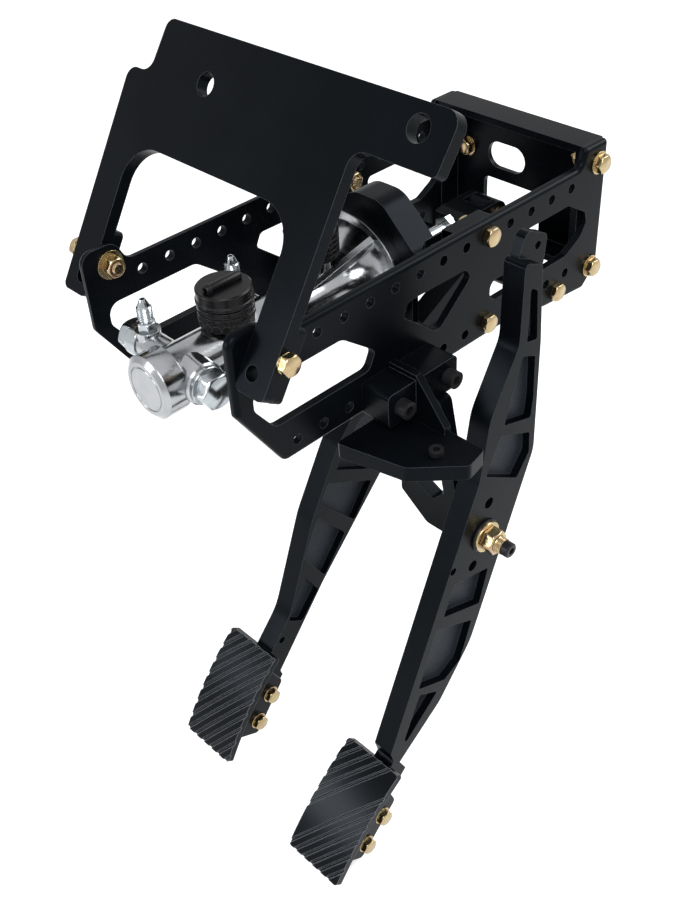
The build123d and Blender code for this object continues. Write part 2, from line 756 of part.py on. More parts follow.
with BuildPart() as brake_arm:
    with BuildSketch(across(brake_left)):
        rounded(brake_outline, [6, 30, 40, 80, 60, 1, 1, 60, 40, 40, 6])
        with Locations((pivot_y, pivot_z)):
            Circle(hub_r)
    extrude(amount=arm_t)
    with BuildSketch(across(brake_left)):
        with Locations((pivot_y, pivot_z)):
            Circle(hub_r)
        with Locations((pin_y, pin_z)):
            Circle(eye_r)
        make_hull()
    extrude(amount=arm_t)
    with BuildSketch(pad_side(brake_left, brake_pad_top, brake_pad_run)):
        rounded([(2, 9.4), (76, 9.4), (80, 15), (78, 34), (24, 40)], [1, 4, 4, 6, 1])
    extrude(amount=arm_t)
    for pocket in brake_pockets:
        with BuildSketch(across(brake_left + arm_t - pocket_depth)):
            rounded(pocket, 2.5)
        extrude(amount=pocket_depth, mode=Mode.SUBTRACT)
    bore(outward(brake_left, pivot_y, pivot_z), bush_r + fit_gap, arm_t)
    bore(outward(brake_left, pin_y, pin_z), pin_r + pin_slack, arm_t)
    bore(outward(brake_left, -4.7, -358), 3.5, arm_t)
    for along_pad in brake_bolts_at:
        with BuildSketch(pad_side(brake_left, brake_pad_top, brake_pad_run)):
            with Locations((along_pad, pad_bolt_depth)):
                Circle(pad_bolt_r + shank_gap)
        extrude(amount=arm_t, mode=Mode.SUBTRACT)
brake_arm.part.label = "brake_arm"
export_step(brake_arm.part, "parts/brake_arm.step")

with BuildPart() as brake_arm_bushing:
    disc(outward(brake_left, pivot_y, pivot_z), bush_r, arm_t, sleeve_r + run_gap)
brake_arm_bushing.part.label = "brake_arm_bushing"
export_step(brake_arm_bushing.part, "parts/brake_arm_bushing.step")

with BuildPart() as brake_pivot_sleeve:
    disc(outward(mid - channel_half, pivot_y, pivot_z), sleeve_r, 2 * channel_half, bolt_r + shank_gap)
brake_pivot_sleeve.part.label = "brake_pivot_sleeve"
export_step(brake_pivot_sleeve.part, "parts/brake_pivot_sleeve.step")

with BuildPart() as brake_pivot_collars:
    collar_start = mid + arm_t / 2 + free_gap
    disc(outward(collar_start, pivot_y, pivot_z), collar_r, inner_right - collar_start, sleeve_r + fit_gap)
    mirror(about=middle)
brake_pivot_collars.part.label = "brake_pivot_collars"
export_step(brake_pivot_collars.part, "parts/brake_pivot_collars.step")

with BuildPart() as brake_pivot_bolt:
    hexagon(outward(0, pivot_y, pivot_z), bolt_flats, bolt_head)
    disc(outward(0, pivot_y, pivot_z, -1), bolt_r, box_width + nut_height + bolt_end)
brake_pivot_bolt.part.label = "brake_pivot_bolt"
export_step(brake_pivot_bolt.part, "parts/brake_pivot_bolt.step")

with BuildPart() as brake_pivot_nut:
    hexagon(outward(-box_width, pivot_y, pivot_z, -1), bolt_flats, nut_height, bolt_r + shank_gap)
brake_pivot_nut.part.label = "brake_pivot_nut"
export_step(brake_pivot_nut.part, "parts/brake_pivot_nut.step")


# Pads
def pad(top, run, left, lug_left, lug_outline):
    """Add a grooved pad with a bolting lug behind it."""
    face = Plane(
        origin=(left + pad_width / 2, top[0] + run[0] * pad_length / 2, top[1] + run[1] * pad_length / 2),
        x_dir=(1, 0, 0),
        z_dir=(0, run[1], -run[0]),
    )
    with BuildSketch(face) as plate_shape:
        RectangleRounded(pad_width, pad_length, pad_corner)
    extrude(plate_shape.sketch, amount=-pad_t)
    with BuildSketch(face) as grooves:
        for step in range(-6, 7):
            with Locations((0, step * groove_step)):
                Rectangle(2 * pad_width, groove_w, rotation=groove_angle)
    extrude(grooves.sketch, amount=-groove_depth, mode=Mode.SUBTRACT)
    with BuildSketch(pad_side(lug_left, top, run)) as lug:
        rounded(lug_outline, 3)
    extrude(lug.sketch, amount=lug_t)


def pad_bolts(top, run, lug_left, places):
    """Add the two bolts, washers and nuts that clamp a pad's lug to the arm."""
    seat = pad_side(lug_left + lug_t, top, run)
    for place in places:
        outer = Plane(seat.location * Location((place, pad_bolt_depth, 0)))
        disc(outer, pad_bolt_flats / 2 + washer_t, washer_t)
        hexagon(outer.offset(washer_t), pad_bolt_flats, pad_bolt_head)
        disc(outer, pad_bolt_r, -(lug_t + arm_t + pad_nut + bolt_end))
        hexagon(outer.offset(-lug_t - arm_t), pad_bolt_flats, -pad_nut)


brake_lug_left = brake_left + arm_t
brake_lug = [(12, pad_t - 1), (88, pad_t - 1), (82, 34), (26, 34)]
with BuildPart() as brake_pad:
    pad(brake_pad_top, brake_pad_run, mid - 35.9, brake_lug_left, brake_lug)
    for along_pad in brake_bolts_at:
        with BuildSketch(pad_side(brake_lug_left, brake_pad_top, brake_pad_run)):
            with Locations((along_pad, pad_bolt_depth)):
                Circle(pad_bolt_r + shank_gap)
        extrude(amount=lug_t, mode=Mode.SUBTRACT)
brake_pad.part.label = "brake_pad"
export_step(brake_pad.part, "parts/brake_pad.step")

with BuildPart() as brake_pad_bolts:
    pad_bolts(brake_pad_top, brake_pad_run, brake_lug_left, brake_bolts_at)
brake_pad_bolts.part.label = "brake_pad_bolts"
export_step(brake_pad_bolts.part, "parts/brake_pad_bolts.step")

# Throttle arm
throttle_pad_top = (-24.0, -385.0)
throttle_pad_run = (-0.7247, -0.6889)
throttle_outline = [
    (128.4, 23.8), (126.5, -42), (97, -92), (87, -145), (-17.5, -376), (-12, -399),
    (43, -360), (80.7, -315), (151.5, -150), (151.5, -50), (147.7, 15.5),
]
throttle_pockets = [
    [(136, 2), (144, -4), (147, -46), (135, -43)],
    [(131, -53), (146, -60), (147, -98), (145, -116), (113, -106)],
    [(110, -114), (145, -130), (146, -150), (132, -168), (94, -144)],
    [(101, -244), (91, -278), (47, -261), (59, -233)],
    [(82, -291), (68, -329), (49, -338), (17, -323), (39, -269)],
    [(40, -345), (1, -377), (-1, -372), (18, -331)],
]
lug_start = throttle_x + arm_t
with BuildPart() as throttle_arm:
    with BuildSketch(across(throttle_x)):
        rounded(throttle_outline, [4, 25, 40, 40, 1, 1, 40, 60, 30, 30, 4])
    extrude(amount=arm_t)
    with BuildSketch(across(throttle_x)):
        rounded([(130, 0), (135, 22), (142, 39.4), (166, 28), (163, 5), (146, 0)], [1, 4, 6, 6, 3, 1])
        with Locations((155.5, 23)):
            Circle(3.3, mode=Mode.SUBTRACT)
    extrude(amount=tab_t)
    with BuildSketch(pad_side(throttle_x, throttle_pad_top, throttle_pad_run)):
        rounded([(-8, 9), (78, 9), (82, 15), (79, 34), (0, 34)], [1, 4, 4, 6, 1])
    extrude(amount=arm_t)
    for pocket in throttle_pockets:
        with BuildSketch(across(throttle_x + arm_t - pocket_depth)):
            rounded(pocket, 2)
        extrude(amount=pocket_depth, mode=Mode.SUBTRACT)
    bore(outward(throttle_x, throttle_y, throttle_z), throttle_bush_r + fit_gap, arm_t)
    for y, z, r in ((98.8, -173, 5), (81.3, -214 - 14, 5), (118, -222, 3.5), (58, -218, 3.5)):
        bore(outward(throttle_x, y, z), r, arm_t)
    for along_pad in throttle_bolts_at:
        with BuildSketch(pad_side(throttle_x, throttle_pad_top, throttle_pad_run)):
            with Locations((along_pad, pad_bolt_depth)):
                Circle(pad_bolt_r + shank_gap)
        extrude(amount=arm_t, mode=Mode.SUBTRACT)
throttle_arm.part.label = "throttle_arm"
export_step(throttle_arm.part, "parts/throttle_arm.step")

throttle_lug = [(12, pad_t - 1), (92, pad_t - 1), (86, 34), (28, 34), (20, 16)]
with BuildPart() as throttle_pad:
    pad(throttle_pad_top, throttle_pad_run, throttle_x + arm_t / 2 - 34.5, lug_start, throttle_lug)
    for along_pad in throttle_bolts_at:
        with BuildSketch(pad_side(lug_start, throttle_pad_top, throttle_pad_run)):
            with Locations((along_pad, pad_bolt_depth)):
                Circle(pad_bolt_r + shank_gap)
        extrude(amount=lug_t, mode=Mode.SUBTRACT)
throttle_pad.part.label = "throttle_pad"
export_step(throttle_pad.part, "parts/throttle_pad.step")

with BuildPart() as throttle_pad_bolts:
    pad_bolts(throttle_pad_top, throttle_pad_run, lug_start, throttle_bolts_at)
throttle_pad_bolts.part.label = "throttle_pad_bolts"
export_step(throttle_pad_bolts.part, "parts/throttle_pad_bolts.step")

with BuildPart() as throttle_bushing:
    disc(outward(throttle_x, throttle_y, throttle_z), throttle_bush_r, arm_t, stud_r + run_gap)
throttle_bushing.part.label = "throttle_bushing"
export_step(throttle_bushing.part, "parts/throttle_bushing.step")

# Throttle bracket
arm_outer = throttle_x + arm_t
washer_start = arm_outer + free_gap
nut_start = washer_start + 2.5
stud_end = nut_start + 25
with BuildPart() as throttle_stud:
    disc(outward(hanger_out, throttle_y, throttle_z), stud_r, stud_end - hanger_out)
    disc(outward(hanger_out, throttle_y, throttle_z, -1), tail_r, tail_length - free_gap)
    chamfer(throttle_stud.edges().group_by(Axis.X)[-1], length=1)
    with BuildSketch(outward(stud_end, throttle_y, throttle_z, -1)):
        RegularPolygon(2.8, 6, major_radius=False)
    extrude(amount=5, mode=Mode.SUBTRACT)
throttle_stud.part.label = "throttle_stud"
export_step(throttle_stud.part, "parts/throttle_stud.step")

with BuildPart() as throttle_stud_nuts:
    disc(outward(washer_start, throttle_y, throttle_z), 12.5, 2.5, stud_r + fit_gap)
    hexagon(outward(nut_start, throttle_y, throttle_z), 19, 11, stud_r + fit_gap)
    disc(outward(hanger_out, throttle_y, throttle_z), 11, throttle_x - free_gap - hanger_out, stud_r + fit_gap)
throttle_stud_nuts.part.label = "throttle_stud_nuts"
export_step(throttle_stud_nuts.part, "parts/throttle_stud_nuts.step")

block_screws_at = [2 * hole_pitch, 4 * hole_pitch]
web_y = 67.0
web_reach = 55.0
with BuildPart() as throttle_block:
    with BuildSketch(across(0)):
        with Locations(((block_front + block_rear) / 2, (block_top + block_low) / 2)):
            RectangleRounded(block_rear - block_front, block_top - block_low, 4)
    extrude(amount=block_reach)
    with BuildSketch(along(web_y, 0, 0)):
        with BuildLine():
            Polyline(
                (0, -block_top - 4), (block_reach, -block_top - 4), (web_reach, -shelf_top - 6),
                (web_reach, -shelf_top), (0, -shelf_top), close=True,
            )
        make_face()
    extrude(amount=plate)
    with BuildSketch(across(0)):
        with Locations(*[(y, -row_drop) for y in block_screws_at]):
            Circle(hole_r)
    extrude(amount=block_reach, mode=Mode.SUBTRACT)
throttle_block.part.label = "throttle_block"
export_step(throttle_block.part, "parts/throttle_block.step")

screw_r = hole_r - shank_gap
with BuildPart() as throttle_block_screws:
    for y in block_screws_at:
        disc(outward(block_reach, y, -row_drop), 7, 9)
        disc(outward(block_reach, y, -row_drop, -1), screw_r, block_reach + plate + nut_height + bolt_end)
        with BuildSketch(outward(block_reach + 9, y, -row_drop, -1)):
            RegularPolygon(3.5, 6, major_radius=False)
        extrude(amount=5, mode=Mode.SUBTRACT)
        hexagon(outward(-plate, y, -row_drop, -1), 12.7, nut_height)
throttle_block_screws.part.label = "throttle_block_screws"
export_step(throttle_block_screws.part, "parts/throttle_block_screws.step")

with BuildPart() as throttle_shelf:
    with BuildSketch(level(shelf_top - shelf_plate)):
        rounded([(2, 8), (59, 21), (91, 53), (87, 74), (2, 73.35)], [3, 8, 6, 4, 3])
        with Locations((64, 48)):
            Circle(3.3, mode=Mode.SUBTRACT)
        with Locations((14, 70.2), (40, 70.2)):
            Circle(2.1, mode=Mode.SUBTRACT)
    extrude(amount=shelf_plate)
throttle_shelf.part.label = "throttle_shelf"
export_step(throttle_shelf.part, "parts/throttle_shelf.step")

with BuildPart() as throttle_hanger:
    with BuildSketch(along(hanger_front, 0, 0)):
        rounded(
            [
                (hanger_in, -block_low), (block_reach + 5, -block_low), (hanger_out, -throttle_z - 22),
                (hanger_out, -hanger_low), (hanger_out - 32, -hanger_low), (hanger_in, -throttle_z - 5),
            ],
            [1, 6, 8, 6, 6, 4],
        )
    extrude(amount=hanger_t)
    with BuildSketch(along(hanger_front, 0, 0)):
        rounded([(hanger_in + 9, 104), (22, 104), (36, 178), (24, 190), (hanger_in + 9, 178)], 3)
    extrude(amount=hanger_t, mode=Mode.SUBTRACT)
    bore(outward(hanger_out, throttle_y, throttle_z, -1), tail_r + fit_gap, tail_length)
throttle_hanger.part.label = "throttle_hanger"
export_step(throttle_hanger.part, "parts/throttle_hanger.step")

with BuildPart() as throttle_stop_screw:
    disc(Plane(origin=(64, 48, shelf_top)), 5.5, 4)
    disc(Plane(origin=(64, 48, shelf_top - shelf_plate - 4)), 3.3 - shank_gap, shelf_plate + 4)
    with BuildSketch(Plane(origin=(64, 48, shelf_top + 4))):
        RegularPolygon(2.5, 6, major_radius=False)
    extrude(amount=-3, mode=Mode.SUBTRACT)
throttle_stop_screw.part.label = "throttle_stop_screw"
export_step(throttle_stop_screw.part, "parts/throttle_stop_screw.step")
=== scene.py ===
"""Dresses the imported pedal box: black plates and arms, zinc hardware, a silver cylinder, a plain studio.

Sizes are in millimetres, as in the CAD, and become metres where a mesh is made. The finishes, the camera
and the lamps are in metres.
"""

import json
import logging
import math
from dataclasses import asdict, dataclass
from enum import Enum
from typing import ClassVar, Iterable, Optional, Union

import bmesh
import bpy
from mathutils import Matrix, Vector


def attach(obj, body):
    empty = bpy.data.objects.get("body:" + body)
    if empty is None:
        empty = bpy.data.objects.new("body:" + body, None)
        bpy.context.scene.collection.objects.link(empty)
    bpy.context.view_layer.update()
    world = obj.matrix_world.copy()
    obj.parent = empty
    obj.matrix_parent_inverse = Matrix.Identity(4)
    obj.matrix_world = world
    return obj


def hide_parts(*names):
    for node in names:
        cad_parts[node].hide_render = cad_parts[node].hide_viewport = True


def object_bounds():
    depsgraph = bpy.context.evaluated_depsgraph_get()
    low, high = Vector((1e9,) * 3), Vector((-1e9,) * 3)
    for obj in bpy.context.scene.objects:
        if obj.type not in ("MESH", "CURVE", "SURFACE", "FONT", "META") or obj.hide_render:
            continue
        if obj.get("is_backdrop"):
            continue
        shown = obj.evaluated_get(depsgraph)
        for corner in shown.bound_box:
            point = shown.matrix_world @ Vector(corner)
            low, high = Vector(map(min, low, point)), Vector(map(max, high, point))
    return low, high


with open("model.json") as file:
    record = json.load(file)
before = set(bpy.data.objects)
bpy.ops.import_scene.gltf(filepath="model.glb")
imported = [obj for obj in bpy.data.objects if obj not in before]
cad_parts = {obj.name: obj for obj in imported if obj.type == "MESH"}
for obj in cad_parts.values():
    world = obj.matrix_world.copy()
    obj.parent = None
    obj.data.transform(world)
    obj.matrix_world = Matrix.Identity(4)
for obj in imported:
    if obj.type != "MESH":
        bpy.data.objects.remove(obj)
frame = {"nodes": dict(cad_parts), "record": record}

LOG = logging.getLogger("pedal_box")
MM = 0.001
BOX_WIDTH = 168.25
MID = -BOX_WIDTH / 2
PLATE = 6.35
PITCH = 25.4
AXIS_Z = -40.0
ARM = 19.0
POCKET = 7.0
THROTTLE_LEFT = 54.0
LUG = 6.35
BOLT_R = 4.76
FLATS = 14.3
HEAD = 6.2
NUT = 8.0
WASHER = 1.6
WASHER_R = 9.6
BOLT_END = 2.0
PLAIN_SHARE = 0.6
THREAD_DEPTH = 0.5
TIP = 1.0
HAIR = 0.01
RELIEF = 0.3
RELIEF_SHARE = 0.47
TURNED_SMOOTH = 40.0
MILLED_SMOOTH = 28.0

Colour = tuple[float, float, float]
Materials = dict[str, bpy.types.Material]
Pair = tuple[float, float]
Socket = bpy.types.NodeSocket
Spot = tuple[Vector, Vector]
Tree = bpy.types.NodeTree
Triple = tuple[float, float, float]


class Way(Enum):
    """Directions in which a fastener's head can face."""

    RIGHT = (1.0, 0.0, 0.0)
    LEFT = (-1.0, 0.0, 0.0)
    DRIVER = (0.0, -1.0, 0.0)
    FIREWALL = (0.0, 1.0, 0.0)
    UP = (0.0, 0.0, 1.0)


def maths(tree: Tree, operation: str, *values: Union[float, Socket]) -> Socket:
    """Add a Math node.

    Args:
        tree: The node tree.
        operation: The node's operation.
        *values: Its inputs in order, as numbers or sockets.

    Returns:
        The result's socket.
    """
    node = tree.nodes.new("ShaderNodeMath")
    node.operation = operation
    for entry, value in zip(node.inputs, values):
        if isinstance(value, Socket):
            tree.links.new(value, entry)
        else:
            entry.default_value = value
    return node.outputs["Value"]


def ranged(tree: Tree, source: Socket, band: Pair, target: Pair = (0.0, 1.0)) -> Socket:
    """Map a value from one range to another.

    Args:
        tree: The node tree.
        source: The value's socket.
        band: Ends of the range that it has.
        target: Ends of the range that it gets.

    Returns:
        The result's socket.
    """
    node = tree.nodes.new("ShaderNodeMapRange")
    for name, value in zip(("From Min", "From Max", "To Min", "To Max"), (*band, *target)):
        node.inputs[name].default_value = value
    tree.links.new(source, node.inputs["Value"])
    return node.outputs["Result"]


def mixed(tree: Tree, factor: Socket, first: Union[Colour, Socket], second: Colour) -> Socket:
    """Blend two colours.

    Args:
        tree: The node tree.
        factor: Share of the second colour.
        first: First colour, linear, or its socket.
        second: Second colour, linear.

    Returns:
        The result's socket.
    """
    node = tree.nodes.new("ShaderNodeMix")
    node.data_type = "RGBA"
    tree.links.new(factor, node.inputs["Factor"])
    if isinstance(first, Socket):
        tree.links.new(first, node.inputs["A"])
    else:
        node.inputs["A"].default_value = (*first, 1.0)
    node.inputs["B"].default_value = (*second, 1.0)
    return node.outputs["Result"]


@dataclass(frozen=True)
class Finish:
    """A procedural metal, plastic or rubber finish.

    Args:
        name: The material's name.
        colour: Main colour, linear.
        tint: Colour of the slow variation across the surface.
        metallic: How metallic it is, from 0 to 1.
        rough: Lowest and highest roughness.
        grain: Size of the fine bump, in cycles per metre.
        depth: Depth of the fine bump in metres.
        edge: Radius of the soft edge in metres.
        slow: Size of the slow variation, in cycles per metre.
        gloss: Specular level.
        edge_highlight: Colour of the painted highlight on the broken edges, linear.
        sheen: Tint of the gloss.
    """

    SLOW_BAND: ClassVar[Pair] = (0.35, 0.65)
    SLOW_DETAIL: ClassVar[float] = 3.0
    FINE_BAND: ClassVar[Pair] = (0.3, 0.7)
    FINE_DETAIL: ClassVar[float] = 4.0
    EDGE_BAND: ClassVar[Pair] = (0.995, 0.9)
    EDGE_SAMPLES: ClassVar[int] = 4
    BUMP: ClassVar[float] = 0.6

    name: str
    colour: Colour
    tint: Colour
    metallic: float
    rough: Pair
    grain: float = 2500.0
    depth: float = 0.00003
    edge: float = 0.0006
    slow: float = 30.0
    gloss: float = 0.5
    # Colour of the painted highlight along the broken edges.
    edge_highlight: Optional[Colour] = None
    sheen: Colour = (1.0, 1.0, 1.0)

    def build(self) -> bpy.types.Material:
        """Make the material.

        Returns:
            The finished material.
        """
        material = bpy.data.materials.new(self.name)
        material.use_nodes = True
        tree = material.node_tree
        shader = tree.nodes["Principled BSDF"]
        shader.inputs["Metallic"].default_value = self.metallic
        shader.inputs["Specular IOR Level"].default_value = self.gloss
        shader.inputs["Specular Tint"].default_value = (*self.sheen, 1.0)
        place = tree.nodes.new("ShaderNodeTexCoord").outputs["Object"]
        slow = self._noise(tree, place, self.slow, self.SLOW_DETAIL)
        fine = self._noise(tree, place, self.grain, self.FINE_DETAIL)
        soft = tree.nodes.new("ShaderNodeBevel")
        soft.samples = self.EDGE_SAMPLES
        soft.inputs["Radius"].default_value = self.edge
        bump = tree.nodes.new("ShaderNodeBump")
        bump.inputs["Distance"].default_value = self.depth
        bump.inputs["Strength"].default_value = self.BUMP
        tree.links.new(self._height(tree, place, fine), bump.inputs["Height"])
        tree.links.new(soft.outputs["Normal"], bump.inputs["Normal"])
        tree.links.new(bump.outputs["Normal"], shader.inputs["Normal"])
        colour = mixed(tree, ranged(tree, slow, self.SLOW_BAND), self.colour, self.tint)
        colour = self._marked(tree, place, colour)
        # Painted highlight: a lighter colour along the broken edges stands in for their gleam.
        if self.edge_highlight:
            colour = self._edges(tree, colour, soft.outputs["Normal"])
        tree.links.new(colour, shader.inputs["Base Color"])
        tree.links.new(ranged(tree, fine, self.FINE_BAND, self.rough), shader.inputs["Roughness"])
        return material

    def _edges(self, tree: Tree, colour: Socket, soft: Socket) -> Socket:
        """Paint a highlight on the broken edges, where the softened normal leaves the true one.

        Args:
            tree: The material's node tree.
            colour: Colour of the faces.
            soft: The softened normal.

        Returns:
            The colour's socket.
        """
        dot = tree.nodes.new("ShaderNodeVectorMath")
        dot.operation = "DOT_PRODUCT"
        tree.links.new(soft, dot.inputs[0])
        tree.links.new(tree.nodes.new("ShaderNodeNewGeometry").outputs["True Normal"], dot.inputs[1])
        return mixed(tree, ranged(tree, dot.outputs["Value"], self.EDGE_BAND), colour, self.edge_highlight)

    def _height(self, tree: Tree, place: Socket, fine: Socket) -> Socket:
        """Height of the fine relief; the plain finish has the grain alone."""
        return fine

    def _marked(self, tree: Tree, place: Socket, colour: Socket) -> Socket:
        """Colour with the cutter's marks; the plain finish has none."""
        return colour

    @staticmethod
    def _noise(tree: Tree, place: Socket, scale: float, detail: float) -> Socket:
        """Add noise on Object coordinates.

        Args:
            tree: The material's node tree.
            place: The Object coordinates.
            scale: Cycles per metre.
            detail: Octaves of noise.

        Returns:
            The noise's value socket.
        """
        noise = tree.nodes.new("ShaderNodeTexNoise")
        noise.inputs["Scale"].default_value = scale
        noise.inputs["Detail"].default_value = detail
        tree.links.new(place, noise.inputs["Vector"])
        return noise.outputs["Fac"]


@dataclass(frozen=True)
class MilledFinish(Finish):
    """Anodised aluminium whose pockets keep the cutter's lines.

    Args:
        floor: X of the pocket floors, in metres.
        pass_width: Spacing of the cutter's passes, in metres.
        line: Colour of the cutter's lines, linear.
    """

    WAVES: ClassVar[float] = 0.314
    WOBBLE: ClassVar[float] = 1.5
    WOBBLE_SCALE: ClassVar[float] = 0.2
    NEAR: ClassVar[float] = 0.0006
    FACING: ClassVar[float] = 0.9
    LINE_HEIGHT: ClassVar[float] = 3.0
    LINE_BAND: ClassVar[Pair] = (0.55, 1.0)

    floor: float = 0.0
    pass_width: float = 0.0019
    line: Colour = (0.055, 0.064, 0.080)

    @staticmethod
    def _across(tree: Tree, vector: Socket) -> Socket:
        """X of a vector.

        Args:
            tree: The material's node tree.
            vector: The vector's socket.

        Returns:
            The value's socket.
        """
        apart = tree.nodes.new("ShaderNodeSeparateXYZ")
        tree.links.new(vector, apart.inputs["Vector"])
        return apart.outputs["X"]

    def _passes(self, tree: Tree, place: Socket) -> Socket:
        """The cutter's lines on floors that face right, 0 elsewhere.

        Args:
            tree: The material's node tree.
            place: The Object coordinates.

        Returns:
            The value's socket.
        """
        lines = tree.nodes.new("ShaderNodeTexWave")
        lines.bands_direction = "Z"
        lines.inputs["Scale"].default_value = self.WAVES / self.pass_width
        lines.inputs["Distortion"].default_value = self.WOBBLE
        lines.inputs["Detail"].default_value = 0.0
        lines.inputs["Detail Scale"].default_value = self.WOBBLE_SCALE
        tree.links.new(place, lines.inputs["Vector"])
        flat = tree.nodes.new("ShaderNodeNewGeometry").outputs["True Normal"]
        near = maths(tree, "COMPARE", self._across(tree, place), self.floor, self.NEAR)
        faced = maths(tree, "GREATER_THAN", self._across(tree, flat), self.FACING)
        return maths(tree, "MULTIPLY", maths(tree, "MULTIPLY", lines.outputs["Fac"], near), faced)

    def _height(self, tree: Tree, place: Socket, fine: Socket) -> Socket:
        """Grain all over, with the cutter's lines on the pocket floors."""
        return maths(tree, "MULTIPLY_ADD", self._passes(tree, place), self.LINE_HEIGHT, fine)

    def _marked(self, tree: Tree, place: Socket, colour: Socket) -> Socket:
        """Lighter colour along the cutter's lines."""
        return mixed(tree, ranged(tree, self._passes(tree, place), self.LINE_BAND), colour, self.line)


@dataclass(frozen=True)
class Finishes:
    """Every finish on the object, and the X of the arms' pocket floors in millimetres.

    Each finish gives its name, colour, tint, metallic share, roughness, grain, depth, edge and slow size.
    """

    # The edge colour given to black, pad_black and black_plastic is a painted highlight along their broken
    # edges.
    black: Finish = Finish(
        "black_anodised", (0.0010, 0.0014, 0.0022), (0.0024, 0.0031, 0.0043), 0.0, (0.24, 0.34), 1800.0,
        0.00001, 0.0005, 14.0, gloss=0.06, edge_highlight=(0.085, 0.095, 0.110), sheen=(0.72, 0.86, 1.0),
    )
    pad_black: Finish = Finish(
        "pad_black", (0.0012, 0.0016, 0.0024), (0.0030, 0.0036, 0.0048), 0.0, (0.22, 0.32), 1800.0,
        0.00001, 0.0007, 20.0, gloss=0.08, edge_highlight=(0.26, 0.28, 0.31), sheen=(0.80, 0.90, 1.0),
    )
    gold: Finish = Finish(
        "zinc_gold", (0.42, 0.35, 0.175), (0.37, 0.26, 0.165), 1.0, (0.14, 0.28), 900.0,
        0.00001, 0.0004, 150.0,
    )
    cast: Finish = Finish(
        "cast_silver", (0.40, 0.41, 0.425), (0.29, 0.30, 0.315), 1.0, (0.13, 0.20), 300.0,
        0.000008, 0.0012, 28.0,
    )
    steel: Finish = Finish(
        "bright_steel", (0.42, 0.45, 0.47), (0.34, 0.37, 0.39), 1.0, (0.14, 0.24), 1500.0,
        0.00001, 0.0004, 90.0,
    )
    dark: Finish = Finish(
        "black_steel", (0.010, 0.010, 0.012), (0.02, 0.02, 0.022), 0.3, (0.30, 0.45), 1500.0,
        0.00002, 0.0004, 90.0, gloss=0.15,
    )
    plastic: Finish = Finish(
        "black_plastic", (0.0020, 0.0021, 0.0025), (0.0035, 0.0036, 0.0042), 0.0, (0.20, 0.34), 1400.0,
        0.00002, 0.0007, 40.0, gloss=0.14, edge_highlight=(0.05, 0.05, 0.055),
    )
    bronze: Finish = Finish("bronze", (0.46, 0.30, 0.14), (0.38, 0.24, 0.12), 1.0, (0.35, 0.5), 2200.0)
    rubber: Finish = Finish(
        "seal_rubber", (0.02, 0.02, 0.02), (0.03, 0.03, 0.03), 0.0, (0.6, 0.75), 1800.0, 0.00004,
    )
    brake_floor: float = MID + ARM / 2 - POCKET
    throttle_floor: float = THROTTLE_LEFT + ARM - POCKET
    milled_depth: float = 0.00006

    def milled(self, name: str, floor: float) -> MilledFinish:
        """The black finish with the cutter's lines on pocket floors at X = floor."""
        changed = {"name": name, "depth": self.milled_depth, "floor": floor * MM}
        return MilledFinish(**asdict(self.black) | changed)

    def by_slot(self) -> Materials:
        """Build one material for each slot of the record."""
        metals = (self.black, self.gold, self.cast, self.steel, self.dark, self.bronze)
        return {finish.name: finish.build() for finish in (*metals, self.plastic, self.rubber)}

    def dress(self, materials: Materials) -> Materials:
        """Give every node of the frame its finish.

        Args:
            materials: Material for each slot name.

        Returns:
            The finishes of the two arms, by node, and of the pads.
        """
        special = {
            "brake_arm": self.milled("brake_arm_milled", self.brake_floor).build(),
            "throttle_arm": self.milled("throttle_arm_milled", self.throttle_floor).build(),
            "pads": self.pad_black.build(),
        }
        slots = {row["node"]: row["material_slot"] for row in frame["record"]["subparts"]}
        for name, node in frame["nodes"].items():
            node.data.materials.clear()
            node.data.materials.append(special.get(name) or materials[slots[name]])
        LOG.info("dressed %d nodes", len(frame["nodes"]))
        return special


def added(name: str, data: bpy.types.ID) -> bpy.types.Object:
    """Put new data in the scene as an object.

    Args:
        name: The object's name.
        data: Its mesh, camera or light.

    Returns:
        The object.
    """
    made = bpy.data.objects.new(name, data)
    bpy.context.scene.collection.objects.link(made)
    return made


def meshed(name: str, form: bmesh.types.BMesh) -> bpy.types.Object:
    """Put a form in the scene as an object.

    Args:
        name: Name of the object and its mesh.
        form: The form, in metres; it is freed.

    Returns:
        The object.
    """
    data = bpy.data.meshes.new(name)
    form.to_mesh(data)
    form.free()
    return added(name, data)


def shade(piece: bpy.types.Object, degrees: float) -> None:
    """Smooth a piece except across edges sharper than the angle.

    Args:
        piece: The mesh object.
        degrees: Largest angle that stays smooth.
    """
    form = bmesh.new()
    form.from_mesh(piece.data)
    for face in form.faces:
        face.smooth = True
    for edge in form.edges:
        edge.smooth = len(edge.link_faces) == 2 and edge.calc_face_angle() < math.radians(degrees)
    form.to_mesh(piece.data)
    form.free()


def break_edges(form: bmesh.types.BMesh, width: float, degrees: float) -> None:
    """Bevel the edges sharper than the angle.

    Args:
        form: The mesh.
        width: Width of the bevel.
        degrees: Smallest angle that is bevelled.
    """
    limit = math.radians(degrees)
    sharp = [edge for edge in form.edges if len(edge.link_faces) == 2 and edge.calc_face_angle(0.0) > limit]
    bmesh.ops.bevel(
        form, geom=sharp, offset=width * MM, offset_type="OFFSET", segments=2, profile=0.5,
        clamp_overlap=True, affect="EDGES", material=-1,
    )


def settle(form: bmesh.types.BMesh, node: str, ending: str, material: bpy.types.Material) -> None:
    """Turn a finished form into a black piece that stands for a node.

    Args:
        form: The mesh, in the frame's metres; it is freed.
        node: Node that it replaces.
        ending: What the piece's name adds to the node's.
        material: Its finish.
    """
    piece = meshed(node + ending, form)
    piece.data.materials.append(material)
    shade(piece, MILLED_SMOOTH)
    even = piece.modifiers.new("even", "WEIGHTED_NORMAL")
    even.mode = "FACE_AREA"
    even.weight = 100
    even.keep_sharp = True
    bodies = frame["record"]["behaviour"]["bodies"]
    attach(piece, next(body for body, members in bodies.items() if node in members))
    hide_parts(node)
    LOG.info("made %s: %d faces", piece.name, len(piece.data.polygons))


